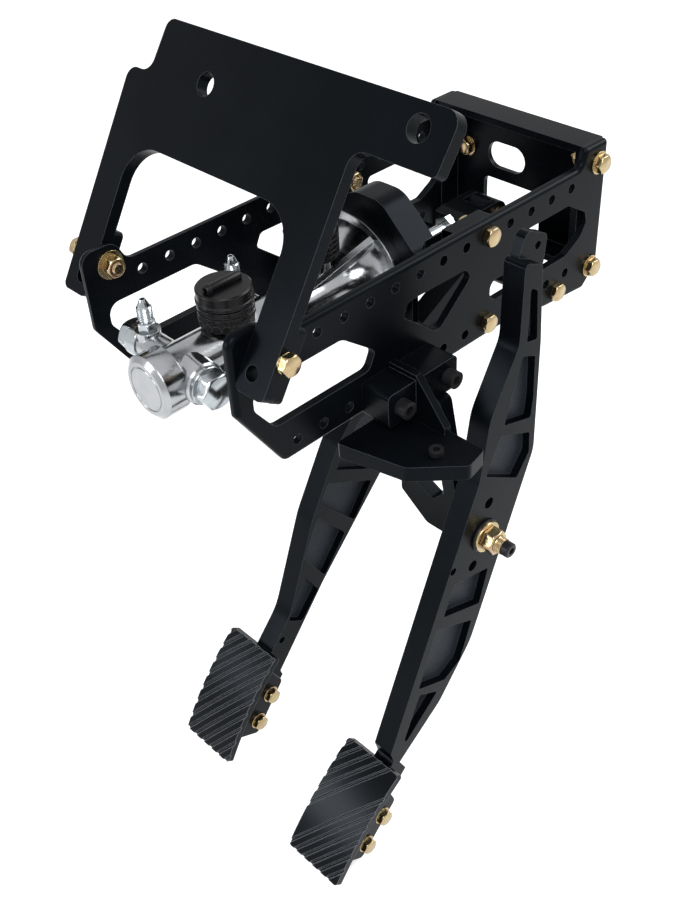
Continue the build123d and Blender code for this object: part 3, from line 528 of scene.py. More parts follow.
def tube(form: bmesh.types.BMesh, rows: list[list[bmesh.types.BMVert]]) -> None:
    """Join closed rows of vertices into a tube with both ends closed.

    Args:
        form: The mesh that holds the vertices.
        rows: Rows of equal length, from one end to the other.
    """
    for one, two in zip(rows, rows[1:]):
        for index in range(len(one)):
            after = (index + 1) % len(one)
            form.faces.new((one[index], one[after], two[after], two[index]))
    form.faces.new(rows[0])
    form.faces.new(list(reversed(rows[-1])))
    bmesh.ops.recalc_face_normals(form, faces=form.faces)


@dataclass(frozen=True)
class Ring:
    """One ring of a turned form.

    Args:
        radius: Distance from the axis.
        height: Place along the axis.
        hexed: True where the six flats cut the ring.
    """

    radius: float
    height: float
    hexed: bool = False


def stack(*pairs: Pair) -> list[Ring]:
    """Round rings from pairs of radius and height."""
    return [Ring(*pair) for pair in pairs]


def turned(rings: list[Ring], flats: float = 0.0, segments: int = 48) -> bpy.types.Object:
    """Make a turned form round +Z whose marked rings are cut by six flats.

    Args:
        rings: Rings from the outer end to the inner one; a radius of 0 closes an end, else the loop closes.
        flats: Size across the flats.
        segments: Steps round the axis.

    Returns:
        The new object, not yet part of any body.
    """
    mesh = bmesh.new()
    loops: list[list[bmesh.types.BMVert]] = []
    for ring in rings:
        height = ring.height * MM
        if ring.radius == 0.0:
            loops.append([mesh.verts.new((0.0, 0.0, height))])
            continue
        loop = []
        for step in range(segments):
            angle = 2 * math.pi * step / segments
            radius = ring.radius * MM
            if ring.hexed:
                turn = (angle + math.pi / 6) % (math.pi / 3) - math.pi / 6
                radius = min(radius, flats * MM / 2 / math.cos(turn))
            loop.append(mesh.verts.new((radius * math.cos(angle), radius * math.sin(angle), height)))
        loops.append(loop)
    pairs = list(zip(loops, loops[1:]))
    if len(loops[0]) > 1:
        pairs.append((loops[-1], loops[0]))
    for upper, lower in pairs:
        for step in range(segments):
            after = (step + 1) % segments
            corners = [upper[step % len(upper)], lower[step % len(lower)]]
            if len(lower) > 1:
                corners.append(lower[after])
            if len(upper) > 1:
                corners.append(upper[after])
            mesh.faces.new(corners)
    bmesh.ops.recalc_face_normals(mesh, faces=mesh.faces)
    return meshed("template", mesh)


def chamfered_hex(flats: float, low: float, high: float) -> list[Ring]:
    """Rings of a hexagon whose top corners are turned off.

    Args:
        flats: Size across the flats.
        low: Height of the seat.
        high: Height of the top.

    Returns:
        Rings from the top down.
    """
    steps = ((0.465, 0.0), (0.495, 0.022), (0.52, 0.042), (0.55, 0.066), (0.585, 0.1))
    top = [Ring(share * flats, high - drop * flats, True) for share, drop in steps]
    return [*top, Ring(steps[-1][0] * flats, low, True)]


def thread(radius: float, high: float, low: float, pitch: float = 1.4) -> list[Ring]:
    """Rings of a thread from high down to low.

    Args:
        radius: Outer radius.
        high: Start of the thread.
        low: End of the thread.
        pitch: Distance from crest to crest.

    Returns:
        Alternating root and crest rings.
    """
    rings = []
    while high - pitch > low:
        rings += stack((radius - THREAD_DEPTH, high), (radius, high - pitch / 2))
        high -= pitch
    return rings


def hex_bolt(grip: float, washer: float = 0.0, rim: float = WASHER_R) -> bpy.types.Object:
    """A hex bolt with its washer, seated at height 0.

    Args:
        grip: Length from the seat to the tip.
        washer: Thickness of the washer under the head, or 0 for none.
        rim: Radius of the washer.

    Returns:
        The template.
    """
    top, neck, plain = washer + HEAD, RELIEF_SHARE * FLATS, PLAIN_SHARE * grip
    rings = [Ring(0.0, top), *chamfered_hex(FLATS, washer + RELIEF, top), Ring(neck, washer + RELIEF)]
    rings += stack((rim, washer), (rim, 0.0)) if washer else stack((neck, 0.0))
    rings += stack((BOLT_R, -HAIR), (BOLT_R, -plain)) + thread(BOLT_R, -plain, TIP - grip)
    return turned(rings + stack((BOLT_R - TIP, -grip), (0.0, -grip)), FLATS)


def hex_nut(washer: float = 0.0, rim: float = WASHER_R) -> bpy.types.Object:
    """A hex nut with its washer, seated at height 0.

    Args:
        washer: Thickness of the washer under the nut, or 0 for none.
        rim: Radius of the washer.

    Returns:
        The template.
    """
    hole, top = BOLT_R + 0.15, washer + NUT
    rings = stack((hole, top - 0.5), (hole + 0.6, top)) + chamfered_hex(FLATS, washer + RELIEF, top)
    rings += stack((RELIEF_SHARE * FLATS, washer + RELIEF))
    rings += stack((rim, washer), (rim, 0.0)) if washer else []
    return turned(rings + stack((hole, 0.0)), FLATS)


def spot(x: float, y: float, z: float, way: Way) -> Spot:
    """Seat, in metres, and facing of one fastener."""
    return Vector((x * MM, y * MM, z * MM)), Vector(way.value)


def both_sides(x: float, y: float, heights: Iterable[float], inside: bool = False) -> list[Spot]:
    """Spots on the right side and its mirror.

    Args:
        x: X of the right seats.
        y: Y of all.
        heights: Z of each pair.
        inside: True where the fasteners face the middle.

    Returns:
        Right and left spot at each height.
    """
    right, left = (Way.LEFT, Way.RIGHT) if inside else (Way.RIGHT, Way.LEFT)
    pairs = ((spot(x, y, z, right), spot(2 * MID - x, y, z, left)) for z in heights)
    return [one for pair in pairs for one in pair]


class Fasteners:
    """Places each group of turned fasteners with Geometry Nodes."""

    def __init__(self, materials: Materials) -> None:
        """Keep the finishes, by slot, and build the placing tree."""
        self.materials = materials
        self.tree = self._placing_tree()

    @staticmethod
    def _placing_tree() -> Tree:
        """Build the tree that puts a fastener on each point, faced along the point's own direction.

        Returns:
            The node tree.
        """
        tree = bpy.data.node_groups.new("place_fasteners", "GeometryNodeTree")
        for name, side, kind in (
            ("Points", "INPUT", "Geometry"), ("Fastener", "INPUT", "Object"),
            ("Finish", "INPUT", "Material"), ("Fasteners", "OUTPUT", "Geometry"),
        ):
            tree.interface.new_socket(name, in_out=side, socket_type="NodeSocket" + kind)
        kinds = (
            "NodeGroupInput", "GeometryNodeObjectInfo", "GeometryNodeInputNamedAttribute",
            "FunctionNodeAlignRotationToVector", "GeometryNodeInstanceOnPoints",
            "GeometryNodeRealizeInstances", "GeometryNodeSetMaterial", "NodeGroupOutput",
        )
        entry, source, facing, align, place, real, finish, end = map(tree.nodes.new, kinds)
        facing.data_type = "FLOAT_VECTOR"
        facing.inputs["Name"].default_value = "facing"
        align.axis = "Z"
        for start, out, stop, into in (
            (entry, "Fastener", source, "Object"),
            (entry, "Points", place, "Points"),
            (source, "Geometry", place, "Instance"),
            (facing, "Attribute", align, "Vector"),
            (align, "Rotation", place, "Rotation"),
            (place, "Instances", real, "Geometry"),
            (real, "Geometry", finish, "Geometry"),
            (entry, "Finish", finish, "Material"),
            (finish, "Geometry", end, "Fasteners"),
        ):
            tree.links.new(start.outputs[out], stop.inputs[into])
        return tree

    def place(
        self,
        name: str,
        template: bpy.types.Object,
        spots: list[Spot],
        node: Optional[str] = None,
        slot: str = "zinc_gold",
        body: str = "frame",
    ) -> None:
        """Put copies of a fastener at its spots as one plain mesh.

        Args:
            name: Name of the piece.
            template: The turned fastener, which is removed afterwards.
            spots: Seat and facing of each copy.
            node: Node that the piece replaces, if any.
            slot: Material slot of the record.
            body: Body that carries the piece.
        """
        points = bpy.data.meshes.new(name + "_points")
        points.from_pydata([seat for seat, _ in spots], [], [])
        facing = points.attributes.new("facing", "FLOAT_VECTOR", "POINT")
        for index, (_, way) in enumerate(spots):
            facing.data[index].vector = way
        carrier = added(name + "_carrier", points)
        modifier = carrier.modifiers.new("place", "NODES")
        modifier.node_group = self.tree
        sockets = {item.name: item.identifier for item in self.tree.interface.items_tree}
        modifier[sockets["Fastener"]] = template
        modifier[sockets["Finish"]] = self.materials[slot]
        graph = bpy.context.evaluated_depsgraph_get()
        mesh = bpy.data.meshes.new_from_object(carrier.evaluated_get(graph))
        mesh.name = name
        piece = added(name, mesh)
        for used in (carrier, template):
            bpy.data.objects.remove(used)
        shade(piece, TURNED_SMOOTH)
        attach(piece, body)
        if node:
            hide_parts(node)
        LOG.info("placed %s: %d", name, len(spots))


@dataclass
class MilledParts:
    """Plates and arms whose machined edges are broken, made from merged copies of their nodes.

    Args:
        plain: The plates' finish.
        own: Finishes of the parts that have their own, by node.
        nodes: The parts.
        weld: Distance within which the nodes' loose vertices are merged.
        flat: Angle in degrees below which faces become one.
        width: Width of the broken edge.
        sharpest: Smallest angle in degrees that is broken.
        dome: Half width and lowest height of the bracket's dome.
        shoulders: Place of each of the dome's shoulders, and how far it moves, across and up.
    """

    plain: bpy.types.Material
    own: Materials
    nodes: tuple[str, ...] = (
        "side_plate_right", "side_plate_left", "mounting_plate", "firewall_channel", "cross_bracket",
        "brake_arm", "throttle_arm", "throttle_block", "throttle_shelf", "throttle_hanger",
    )
    weld: float = 0.004
    flat: float = 0.4
    width: float = 0.5
    sharpest: float = 35.0
    dome: Pair = (64.0, 5.0)
    shoulders: tuple[tuple[Pair, Pair], ...] = (
        ((59.0, 18.7), (-1.0, -17.7)), ((35.0, 43.0), (-8.0, -12.0)),
        ((-35.0, 43.0), (31.0, -12.0)), ((-59.0, 18.7), (15.0, -22.7)),
    )

    def build(self) -> None:
        """Build each part."""
        for node in self.nodes:
            form = bmesh.new()
            form.from_mesh(frame["nodes"][node].data)
            bmesh.ops.remove_doubles(form, verts=form.verts, dist=self.weld * MM)
            bmesh.ops.dissolve_limit(
                form, angle_limit=math.radians(self.flat), verts=form.verts, edges=form.edges,
            )
            if node == "cross_bracket":
                self.lower_dome(form)
            break_edges(form, self.width, self.sharpest)
            settle(form, node, "_milled", self.own.get(node, self.plain))

    def lower_dome(self, form: bmesh.types.BMesh) -> None:
        """Bring the dome's four shoulders down to the photograph's outline.

        Args:
            form: The bracket's mesh.
        """
        half, low = self.dome
        for vert in form.verts:
            place = (vert.co.x / MM - MID, vert.co.z / MM)
            if abs(place[0]) < half and place[1] > low:
                _, move = min(self.shoulders, key=lambda row: math.dist(row[0], place))
                vert.co.x += move[0] * MM
                vert.co.z += move[1] * MM


@dataclass
class Pad:
    """A crowned pad with diagonal grooves and its bolting lug.

    Args:
        node: Node that the pad stands for.
        body: Body that carries its bolts.
        left: X of its left edge.
        top: Y and Z of its top edge.
        run: Direction down the pad, in Y and Z.
        bolts: Places of its two bolts, down the pad.
        lug_left: X of the lug's left face.
        lug: Outline of the lug, as distances down and behind the pad.
        grooves: Places of the grooves from the centre, square to them.
        width: Width across.
        length: Length down.
        thick: Thickness.
        crown: How far the middle stands proud of the ends.
        corner: Radius of the corners.
        angle: Angle of the grooves from the X axis, in degrees.
        groove: Half width of a groove at its mouth.
        bottom: Width of a groove's bottom, as a share of its mouth.
        deep: Depth of a groove.
        rim: Width of the plate's broken edges.
        lug_thick: Thickness of the lug.
        lug_corner: Radius of the lug's corners.
        lug_rim: Width of the lug's broken edges.
        sharpest: Smallest angle in degrees that is broken.
        behind: Distance of the bolts behind the pad.
        steps: Divisions along the grooves.
        bends: Divisions down the pad, where it can bend.
        cut_step: Degrees between the cuts that round its corners.
    """

    node: str
    body: str
    left: float
    top: Pair
    run: Pair
    bolts: Pair
    lug_left: float
    lug: tuple[Pair, ...]
    grooves: tuple[float, ...]
    width: float = 58.4
    length: float = 107.0
    thick: float = 7.0
    crown: float = 5.0
    corner: float = 3.0
    angle: float = 54.0
    groove: float = 1.6
    bottom: float = 0.55
    deep: float = 1.9
    rim: float = 0.35
    lug_thick: float = LUG
    lug_corner: float = 3.0
    lug_rim: float = 0.4
    sharpest: float = 50.0
    behind: float = 25.0
    steps: int = 40
    bends: int = 16
    cut_step: int = 15

    def build(self, material: bpy.types.Material) -> None:
        """Build the pad with its lug.

        Args:
            material: Its finish.
        """
        form = self._plate()
        self._trim(form)
        break_edges(form, self.rim, self.sharpest)
        self._bend(form)
        self._add_lug(form)
        settle(form, self.node, "_crowned", material)

    def bolt_spots(self, x: float, way: Way) -> list[Spot]:
        """Spots of the pad's two bolts.

        Args:
            x: X of their seats.
            way: Where they face.

        Returns:
            The upper and the lower spot.
        """
        (y, z), (run_y, run_z), out = self.top, self.run, self.behind
        return [
            spot(x, y + run_y * down - run_z * out, z + run_z * down + run_y * out, way)
            for down in self.bolts
        ]

    def _profile(self, reach: float) -> list[Pair]:
        """Section square to the grooves, closed round the back.

        Args:
            reach: Its half width, in metres.

        Returns:
            Place and height of its points, in metres.
        """
        points = []
        half, deep = self.groove * MM, self.deep * MM
        for place in (place * MM for place in sorted(self.grooves)):
            points += [(place - half, 0.0), (place - half * self.bottom, -deep)]
            points += [(place + half * self.bottom, -deep), (place + half, 0.0)]
        back = -self.thick * MM
        return [(-reach, back), (-reach, 0.0), *points, (reach, 0.0), (reach, back)]

    def _plate(self) -> bmesh.types.BMesh:
        """Sweep the section along the grooves in the pad's own plane.

        Returns:
            The form in metres, X across, Y up and Z outwards.
        """
        form = bmesh.new()
        turn = math.radians(self.angle)
        along = Vector((math.cos(turn), math.sin(turn), 0.0))
        across = Vector((-math.sin(turn), math.cos(turn), 0.0))
        reach = (self.width + self.length) / 2 * MM
        profile = self._profile(reach)
        rows = []
        for step in range(self.steps + 1):
            start = along * (reach * (2 * step / self.steps - 1))
            rows.append([form.verts.new(start + across * n + Vector((0.0, 0.0, h))) for n, h in profile])
        tube(form, rows)
        return form

    @staticmethod
    def _cut(form: bmesh.types.BMesh, place: Vector, way: Vector, clear: bool) -> None:
        """Cut a form along a plane.

        Args:
            form: The mesh.
            place: A point of the plane, in metres.
            way: The plane's normal.
            clear: True where what lies beyond the plane goes.
        """
        geometry = [*form.verts, *form.edges, *form.faces]
        bmesh.ops.bisect_plane(
            form, geom=geometry, dist=1e-7, plane_co=place, plane_no=way, clear_outer=clear,
        )

    def _trim(self, form: bmesh.types.BMesh) -> None:
        """Cut the swept plate to its rounded outline and across it, so that it can bend.

        Args:
            form: The swept plate.
        """
        half_x, half_y, corner = self.width * MM / 2, self.length * MM / 2, self.corner * MM
        for degrees in range(0, 360, self.cut_step):
            way = Vector((math.cos(math.radians(degrees)), math.sin(math.radians(degrees)), 0.0))
            middle = (math.copysign(half_x - corner, way.x), math.copysign(half_y - corner, way.y), 0.0)
            self._cut(form, Vector(middle) + way * corner, way, True)
            loose = [edge for edge in form.edges if edge.is_boundary]
            if loose:
                bmesh.ops.holes_fill(form, edges=loose, sides=0)
        for index in range(1, self.bends):
            place = Vector((0.0, half_y * (2 * index / self.bends - 1), 0.0))
            self._cut(form, place, Vector((0.0, 1.0, 0.0)), False)

    def _bend(self, form: bmesh.types.BMesh) -> None:
        """Crown the plate and put it in the frame.

        Args:
            form: The trimmed plate.
        """
        run = Vector((0.0, *self.run))
        out = Vector((0.0, self.run[1], -self.run[0]))
        length = self.length * MM
        start = Vector(((self.left + self.width / 2) * MM, self.top[0] * MM, self.top[1] * MM))
        start += run * (length / 2)
        for vert in form.verts:
            x, up, height = vert.co
            share = 1.0 - (2 * up / length) ** 2
            vert.co = start + Vector((x, 0.0, 0.0)) - run * up + out * (height + self.crown * MM * share)
        bmesh.ops.recalc_face_normals(form, faces=form.faces)

    def _add_lug(self, form: bmesh.types.BMesh) -> None:
        """Add the bolting lug behind the plate.

        Args:
            form: The bent plate.
        """
        run = Vector((0.0, *self.run))
        behind = Vector((0.0, -self.run[1], self.run[0]))
        lug = bmesh.new()
        sides = []
        for x in (self.lug_left, self.lug_left + self.lug_thick):
            start = Vector((x * MM, self.top[0] * MM, self.top[1] * MM))
            sides.append([lug.verts.new(start + run * (d * MM) + behind * (b * MM)) for d, b in self.lug])
        tube(lug, sides)
        upright = [edge for edge in lug.edges if abs((edge.verts[0].co - edge.verts[1].co).x) > MM]
        bmesh.ops.bevel(
            lug, geom=upright, offset=self.lug_corner * MM, offset_type="OFFSET", segments=4, profile=0.5,
            affect="EDGES",
        )
        break_edges(lug, self.lug_rim, self.sharpest)
        data = bpy.data.meshes.new("lug")
        lug.to_mesh(data)
        lug.free()
        form.from_mesh(data)
        bpy.data.meshes.remove(data)


@dataclass
class FrameHardware:
    """Bolts, washers and nuts of the frame, the mounting plate, the flange and the firewall.

    Args:
        fasteners: What places them.
        rows: Z of the two rows of holes.
        middle_y: Y of the arms' bolts.
        arm_block: Thickness of the block behind the side plate there.
        rear: Y and Z of the upper rear bolts.
        rear_drop: Distance down to the lower rear bolts.
        hinge: Y and Z of the mounting plate's hinge bolts.
        hinge_rims: Radii of the washers under their heads and nuts.
        leg_out: X of the mounting plate's outer face.
        flange: X and Z of the flange's bolts from the cylinder's axis.
        flange_y: Y of the flange's bolt seats in front and behind.
        stud: X from the middle, Y and Z of the firewall bolts.
        stud_grip: Their length from the seat.
    """

    fasteners: Fasteners
    rows: Pair = (0.0, -76.2)
    middle_y: float = 7 * PITCH
    arm_block: float = 12.7
    rear: Pair = (313.5, 10.6)
    rear_drop: float = 94.3
    hinge: Pair = (-52.0, 14.6)
    hinge_rims: Pair = (7.6, 11.0)
    leg_out: float = 27.3
    flange: Pair = (34.1, 26.0)
    flange_y: Pair = (112.0, 127.35)
    stud: Triple = (60.0, 320.94, -17.0)
    stud_grip: float = 4.76 + 26.0

    def build(self) -> None:
        """Build and place every group."""
        put = self.fasteners.place
        end = NUT + BOLT_END
        rear_y, rear_z = self.rear
        rear = (rear_z, rear_z - self.rear_drop)
        inner = PLATE + self.arm_block
        put("middle_bolts", hex_bolt(inner + end), both_sides(0.0, self.middle_y, self.rows), "frame_bolts")
        bolt = hex_bolt(WASHER + 2 * PLATE + end, WASHER)
        put("rear_bolts", bolt, both_sides(0.0, rear_y, rear), "frame_bolts")
        spots = both_sides(-inner, self.middle_y, self.rows, True)
        spots += both_sides(-2 * PLATE, rear_y, rear, True)
        put("inside_nuts", hex_nut(), spots, "frame_nuts")
        y, z = self.hinge
        bolt = hex_bolt(self.leg_out + PLATE + WASHER + end, WASHER, self.hinge_rims[0])
        put("hinge_bolts", bolt, both_sides(self.leg_out, y, [z]), "mounting_plate_bolts")
        nut = hex_nut(WASHER, self.hinge_rims[1])
        put("hinge_nuts", nut, both_sides(-PLATE, y, [z], True), "mounting_plate_nuts")
        front, back = self.flange_y
        places = [(MID + side * self.flange[0], AXIS_Z - side * self.flange[1]) for side in (1, -1)]
        spots = [spot(x, front, z, Way.DRIVER) for x, z in places]
        put("cylinder_bolts", hex_bolt(back - front + WASHER + end), spots, "flange_bolts")
        spots = [spot(x, back, z, Way.FIREWALL) for x, z in places]
        put("cylinder_nuts", hex_nut(WASHER), spots, "flange_nuts")
        half, y, z = self.stud
        spots = [spot(MID + side * half, y, z, Way.DRIVER) for side in (1, -1)]
        put("firewall_hardware", hex_bolt(self.stud_grip, WASHER), spots, "firewall_bolts")


@dataclass
class PedalHardware:
    """Pivot, stud and pad fasteners of both pedals.

    Args:
        fasteners: What places them.
        pivot: Y and Z of the brake's pivot.
        throttle: Y and Z of the throttle's stud.
        flats: Size across the flats of the pad bolts.
        radius: Radius of the pad bolts.
        head: Height of the pad bolts' heads.
        nut: Height of the pad bolts' nuts.
        past: How far the pad bolts reach past the arm.
        stud_hole: Radius inside the stud's hardware.
        stud_flats: Size across the flats of the stud's nut.
        stud_washer: Thickness of the gold washer under the stud's nut.
        stud_nut: Height of the stud's nut.
        stud_end: End of the stud's thread, from the black washer's seat.
    """

    fasteners: Fasteners
    pivot: Pair = (267.0, -88.0)
    throttle: Pair = (94.0, -203.0)
    flats: float = 12.7
    radius: float = 3.97
    head: float = 5.3
    nut: float = 6.5
    past: float = 8.5
    stud_hole: float = 6.4
    stud_flats: float = 19.0
    stud_washer: float = 2.5
    stud_nut: float = 11.0
    stud_end: float = 20.5

    def pad_bolt(self) -> bpy.types.Object:
        """A pad bolt with its washer, seated at height 0 on the lug.

        Returns:
            The template.
        """
        top, rim, grip = WASHER + self.head, self.flats / 2 + WASHER, LUG + ARM
        tip = -(grip + self.past)
        rings = [Ring(0.0, top), *chamfered_hex(self.flats, WASHER + RELIEF, top)]
        rings += stack((RELIEF_SHARE * self.flats, WASHER), (rim - 0.3, WASHER), (rim, WASHER - 0.3))
        rings += stack((rim, 0.0), (self.radius, -HAIR), (self.radius, -grip))
        rings += thread(self.radius, -grip, tip + TIP) + stack((self.radius - 0.8, tip), (0.0, tip))
        return turned(rings, self.flats)

    def pad_nut(self) -> bpy.types.Object:
        """A pad nut, seated at height 0."""
        hole, hexagon = self.radius + 0.1, chamfered_hex(self.flats, 0.0, self.nut)
        return turned([Ring(hole, self.nut), *hexagon, Ring(hole, 0.0)], self.flats)

    def build(self) -> None:
        """Build and place every group."""
        put = self.fasteners.place
        for pad in pads():
            node = pad.node + "_bolts"
            spots = pad.bolt_spots(pad.lug_left + LUG, Way.RIGHT)
            put(pad.node + "_screws", self.pad_bolt(), spots, node, body=pad.body)
            spots = pad.bolt_spots(pad.lug_left - ARM, Way.LEFT)
            put(pad.node + "_nuts", self.pad_nut(), spots, node, body=pad.body)
        bolt = hex_bolt(BOX_WIDTH + NUT + BOLT_END)
        put("pivot_bolt", bolt, [spot(0.0, *self.pivot, Way.RIGHT)], "brake_pivot_bolt")
        put("pivot_nut", hex_nut(), [spot(-BOX_WIDTH, *self.pivot, Way.LEFT)], "brake_pivot_nut")
        self._stud_hardware()

    def _stud_hardware(self) -> None:
        """Build the throttle stud's nut, washers, thread and spacer."""
        hole, flats, washer = self.stud_hole, self.stud_flats, self.stud_washer
        top, end = washer + self.stud_nut, self.stud_end
        nut = stack((hole, top - 0.6), (hole + 0.8, top)) + chamfered_hex(flats, washer + RELIEF, top)
        nut += stack((RELIEF_SHARE * flats, washer), (13.2, washer), (13.5, washer - 0.4), (13.5, 0.0))
        nut += stack((hole, 0.0))
        black = stack((hole, 1.5), (14.0, 1.5), (14.4, 1.1), (14.4, 0.0), (hole, 0.0))
        shank = [Ring(hole, end), *thread(7.0, end, top, 1.2), Ring(7.0, top), Ring(hole, top)]
        spacer = stack((hole, 3.7), (10.7, 3.7), (11.0, 3.4), (11.0, 0.0), (hole, 0.0))
        for name, rings, x, node, slot in (
            ("stud_nut_and_washer", nut, 74.8, "throttle_stud_nuts", "zinc_gold"),
            ("stud_washer", black, 73.3, None, "black_steel"),
            ("stud_thread", shank, 73.3, None, "zinc_gold"),
            ("stud_spacer", spacer, 50.0, None, "zinc_gold"),
        ):
            self.fasteners.place(name, turned(rings, flats), [spot(x, *self.throttle, Way.RIGHT)], node, slot)


@dataclass
class CylinderFittings:
    """Silver outlet fittings, plugs and side boss of the tandem cylinder.

    Args:
        fasteners: What places them.
        ports: Y of the two chambers' ports.
        fitting: X, from the middle, and Z of the outlet fittings' seats.
        plug_x: X of the right plug's seat, from the middle.
        left_x: X of the left plugs' seats, from the middle.
        left_rise: Height of the left plugs above the cylinder's axis.
        boss_in: How far the right boss's seat lies inside the plug's.
    """

    fasteners: Fasteners
    ports: Pair = (-56.0, 25.0)
    fitting: Pair = (-36.0, -20.5)
    plug_x: float = 27.0
    left_x: float = -46.0
    left_rise: float = 6.0
    boss_in: float = 8.0

    def build(self) -> None:
        """Build and place the fittings, the plugs and the boss."""
        put = self.fasteners.place
        x, z = self.fitting
        rings = stack((1.6, 24.6), (2.2, 24.6), (4.6, 19.6), (4.6, 19.0)) + thread(5.7, 18.6, 8.0, 1.3)
        rings += [Ring(4.6, 7.0), *chamfered_hex(13.0, 0.0, 6.6), Ring(1.6, 0.0)]
        spots = [spot(MID + x, y, z, Way.UP) for y in self.ports]
        put("line_fittings", turned(rings, 13.0), spots, "outlet_fittings", "bright_steel")
        flange = stack((14.2, 3.2), (14.6, 2.8), (14.6, 0.0), (0.0, 0.0))
        spots = [spot(MID + self.plug_x, self.ports[0], AXIS_Z, Way.RIGHT)]
        put("side_plug", self._plug(25.0, 3.2, 15.5, flange), spots, "side_port_plug", "bright_steel")
        boss = ((0.0, 8.0), (15.0, 8.0), (16.2, 6.8), (16.6, -2.0), (18.5, -7.0), (18.5, -12.0), (0.0, -12.0))
        spots = [spot(MID + self.plug_x - self.boss_in, self.ports[0], AXIS_Z, Way.RIGHT)]
        put("side_boss", turned(stack(*boss)), spots, slot="cast_silver")
        flange = stack((13.0, 4.2), (13.4, 3.8), (13.4, -6.0), (12.4, -7.0), (0.0, -7.0))
        spots = [spot(MID + self.left_x, y, AXIS_Z + self.left_rise, Way.LEFT) for y in self.ports]
        put("left_plugs", self._plug(23.0, 4.2, 14.0, flange), spots, slot="bright_steel")

    @staticmethod
    def _plug(flats: float, low: float, high: float, flange: list[Ring]) -> bpy.types.Object:
        """A hex plug on its flange.

        Args:
            flats: Size across the flats.
            low: Height of the flange's top.
            high: Height of the plug.
            flange: Rings of the flange.

        Returns:
            The template.
        """
        hexagon = chamfered_hex(flats, low, high)
        return turned([Ring(0.0, high), *hexagon, Ring(RELIEF_SHARE * flats, low), *flange], flats)


@dataclass
class Inlets:
    """Black moulded inlets on top of the cylinder.

    Args:
        fasteners: What places them.
        front_y: Y of the front inlet.
        rear_y: Y of the rear inlet.
        front_nozzle: Y and Z of the front nozzle's inner end, and its length.
        rear_nozzle: Y and Z of the rear nozzle's inner end, and its length.
        grips: Number of grips round the front cap.
        grip_seat: Distance of a grip's seat from the cap's axis, and its Z.
        smooth: Steps round a cap.
    """

    fasteners: Fasteners
    front_y: float = -11.0
    rear_y: float = 76.0
    front_nozzle: Triple = (4.0, 11.2, 31.0)
    rear_nozzle: Triple = (84.0, 25.0, 34.0)
    grips: int = 18
    grip_seat: Pair = (14.8, -16.0)
    smooth: int = 96

    def build(self) -> None:
        """Build both inlets with their nozzles and the front cap's grips."""
        rings = stack((0.0, 9.5), (19.6, 9.5), (20.6, 8.5), (20.6, 1.5))
        rings += stack((21.4, 0.8), (21.4, -1.2), (19.4, -1.8))
        for top in (-2.6, -7.6, -12.6):
            rings += stack((19.4, top), (20.8, top - 0.6), (20.8, top - 2.6), (19.4, top - 3.2))
        rings += stack((18.0, -17.5), (18.0, -20.0), (0.0, -20.0))
        self._cap("front", rings, self.front_y)
        self._nozzle("front_inlet_nozzle", *self.front_nozzle)
        self._add_grips()
        rings = stack((0.0, 28.0), (12.0, 28.0), (13.0, 27.0), (13.5, 22.0), (18.0, 20.0))
        for top in (18.0, 14.0, 10.0, 6.0, 2.0):
            rings += stack((19.3, top), (19.3, top - 2.0), (17.6, top - 2.4), (17.6, top - 3.4))
        self._cap("rear", rings + stack((18.4, -2.8), (0.0, -2.8)), self.rear_y)
        self._nozzle("rear_inlet_nozzle", *self.rear_nozzle)

    def _cap(self, end: str, rings: list[Ring], y: float) -> None:
        """Place one inlet's cap.

        Args:
            end: The inlet, front or rear.
            rings: Its rings from the top down.
            y: Its Y.
        """
        cap, spots = turned(rings, segments=self.smooth), [spot(MID, y, 0.0, Way.UP)]
        self.fasteners.place(end + "_inlet_cap", cap, spots, end + "_reservoir_inlet", "black_plastic")

    def _add_grips(self) -> None:
        """Place the grips round the front cap."""
        out, z = self.grip_seat
        middle = Vector((MID * MM, self.front_y * MM, z * MM))
        spots = []
        for step in range(self.grips):
            angle = 2 * math.pi * step / self.grips
            way = Vector((math.cos(angle), math.sin(angle), 0.0))
            spots.append((middle + way * out * MM, way))
        grip = turned(stack((0.0, 6.0), (3.4, 6.0), (3.6, 5.6), (3.6, 0.0), (0.0, 0.0)), segments=12)
        self.fasteners.place("front_inlet_grips", grip, spots, slot="black_plastic")

    def _nozzle(self, name: str, y: float, z: float, length: float) -> None:
        """Place a hollow barbed nozzle that points at the driver.

        Args:
            name: Name of the piece.
            y: Y of its inner end.
            z: Z of its inner end.
            length: Its length.
        """
        bore = length - 8.0
        rings = stack((0.0, bore), (2.3, bore), (2.3, length), (3.4, length), (4.3, length - 1.6))
        rings += stack((4.3, length - 3.0), (3.5, length - 3.4), (3.7, 2.0), (3.0, 0.0), (0.0, 0.0))
        self.fasteners.place(name, turned(rings), [spot(MID, y, z, Way.DRIVER)], slot="black_plastic")


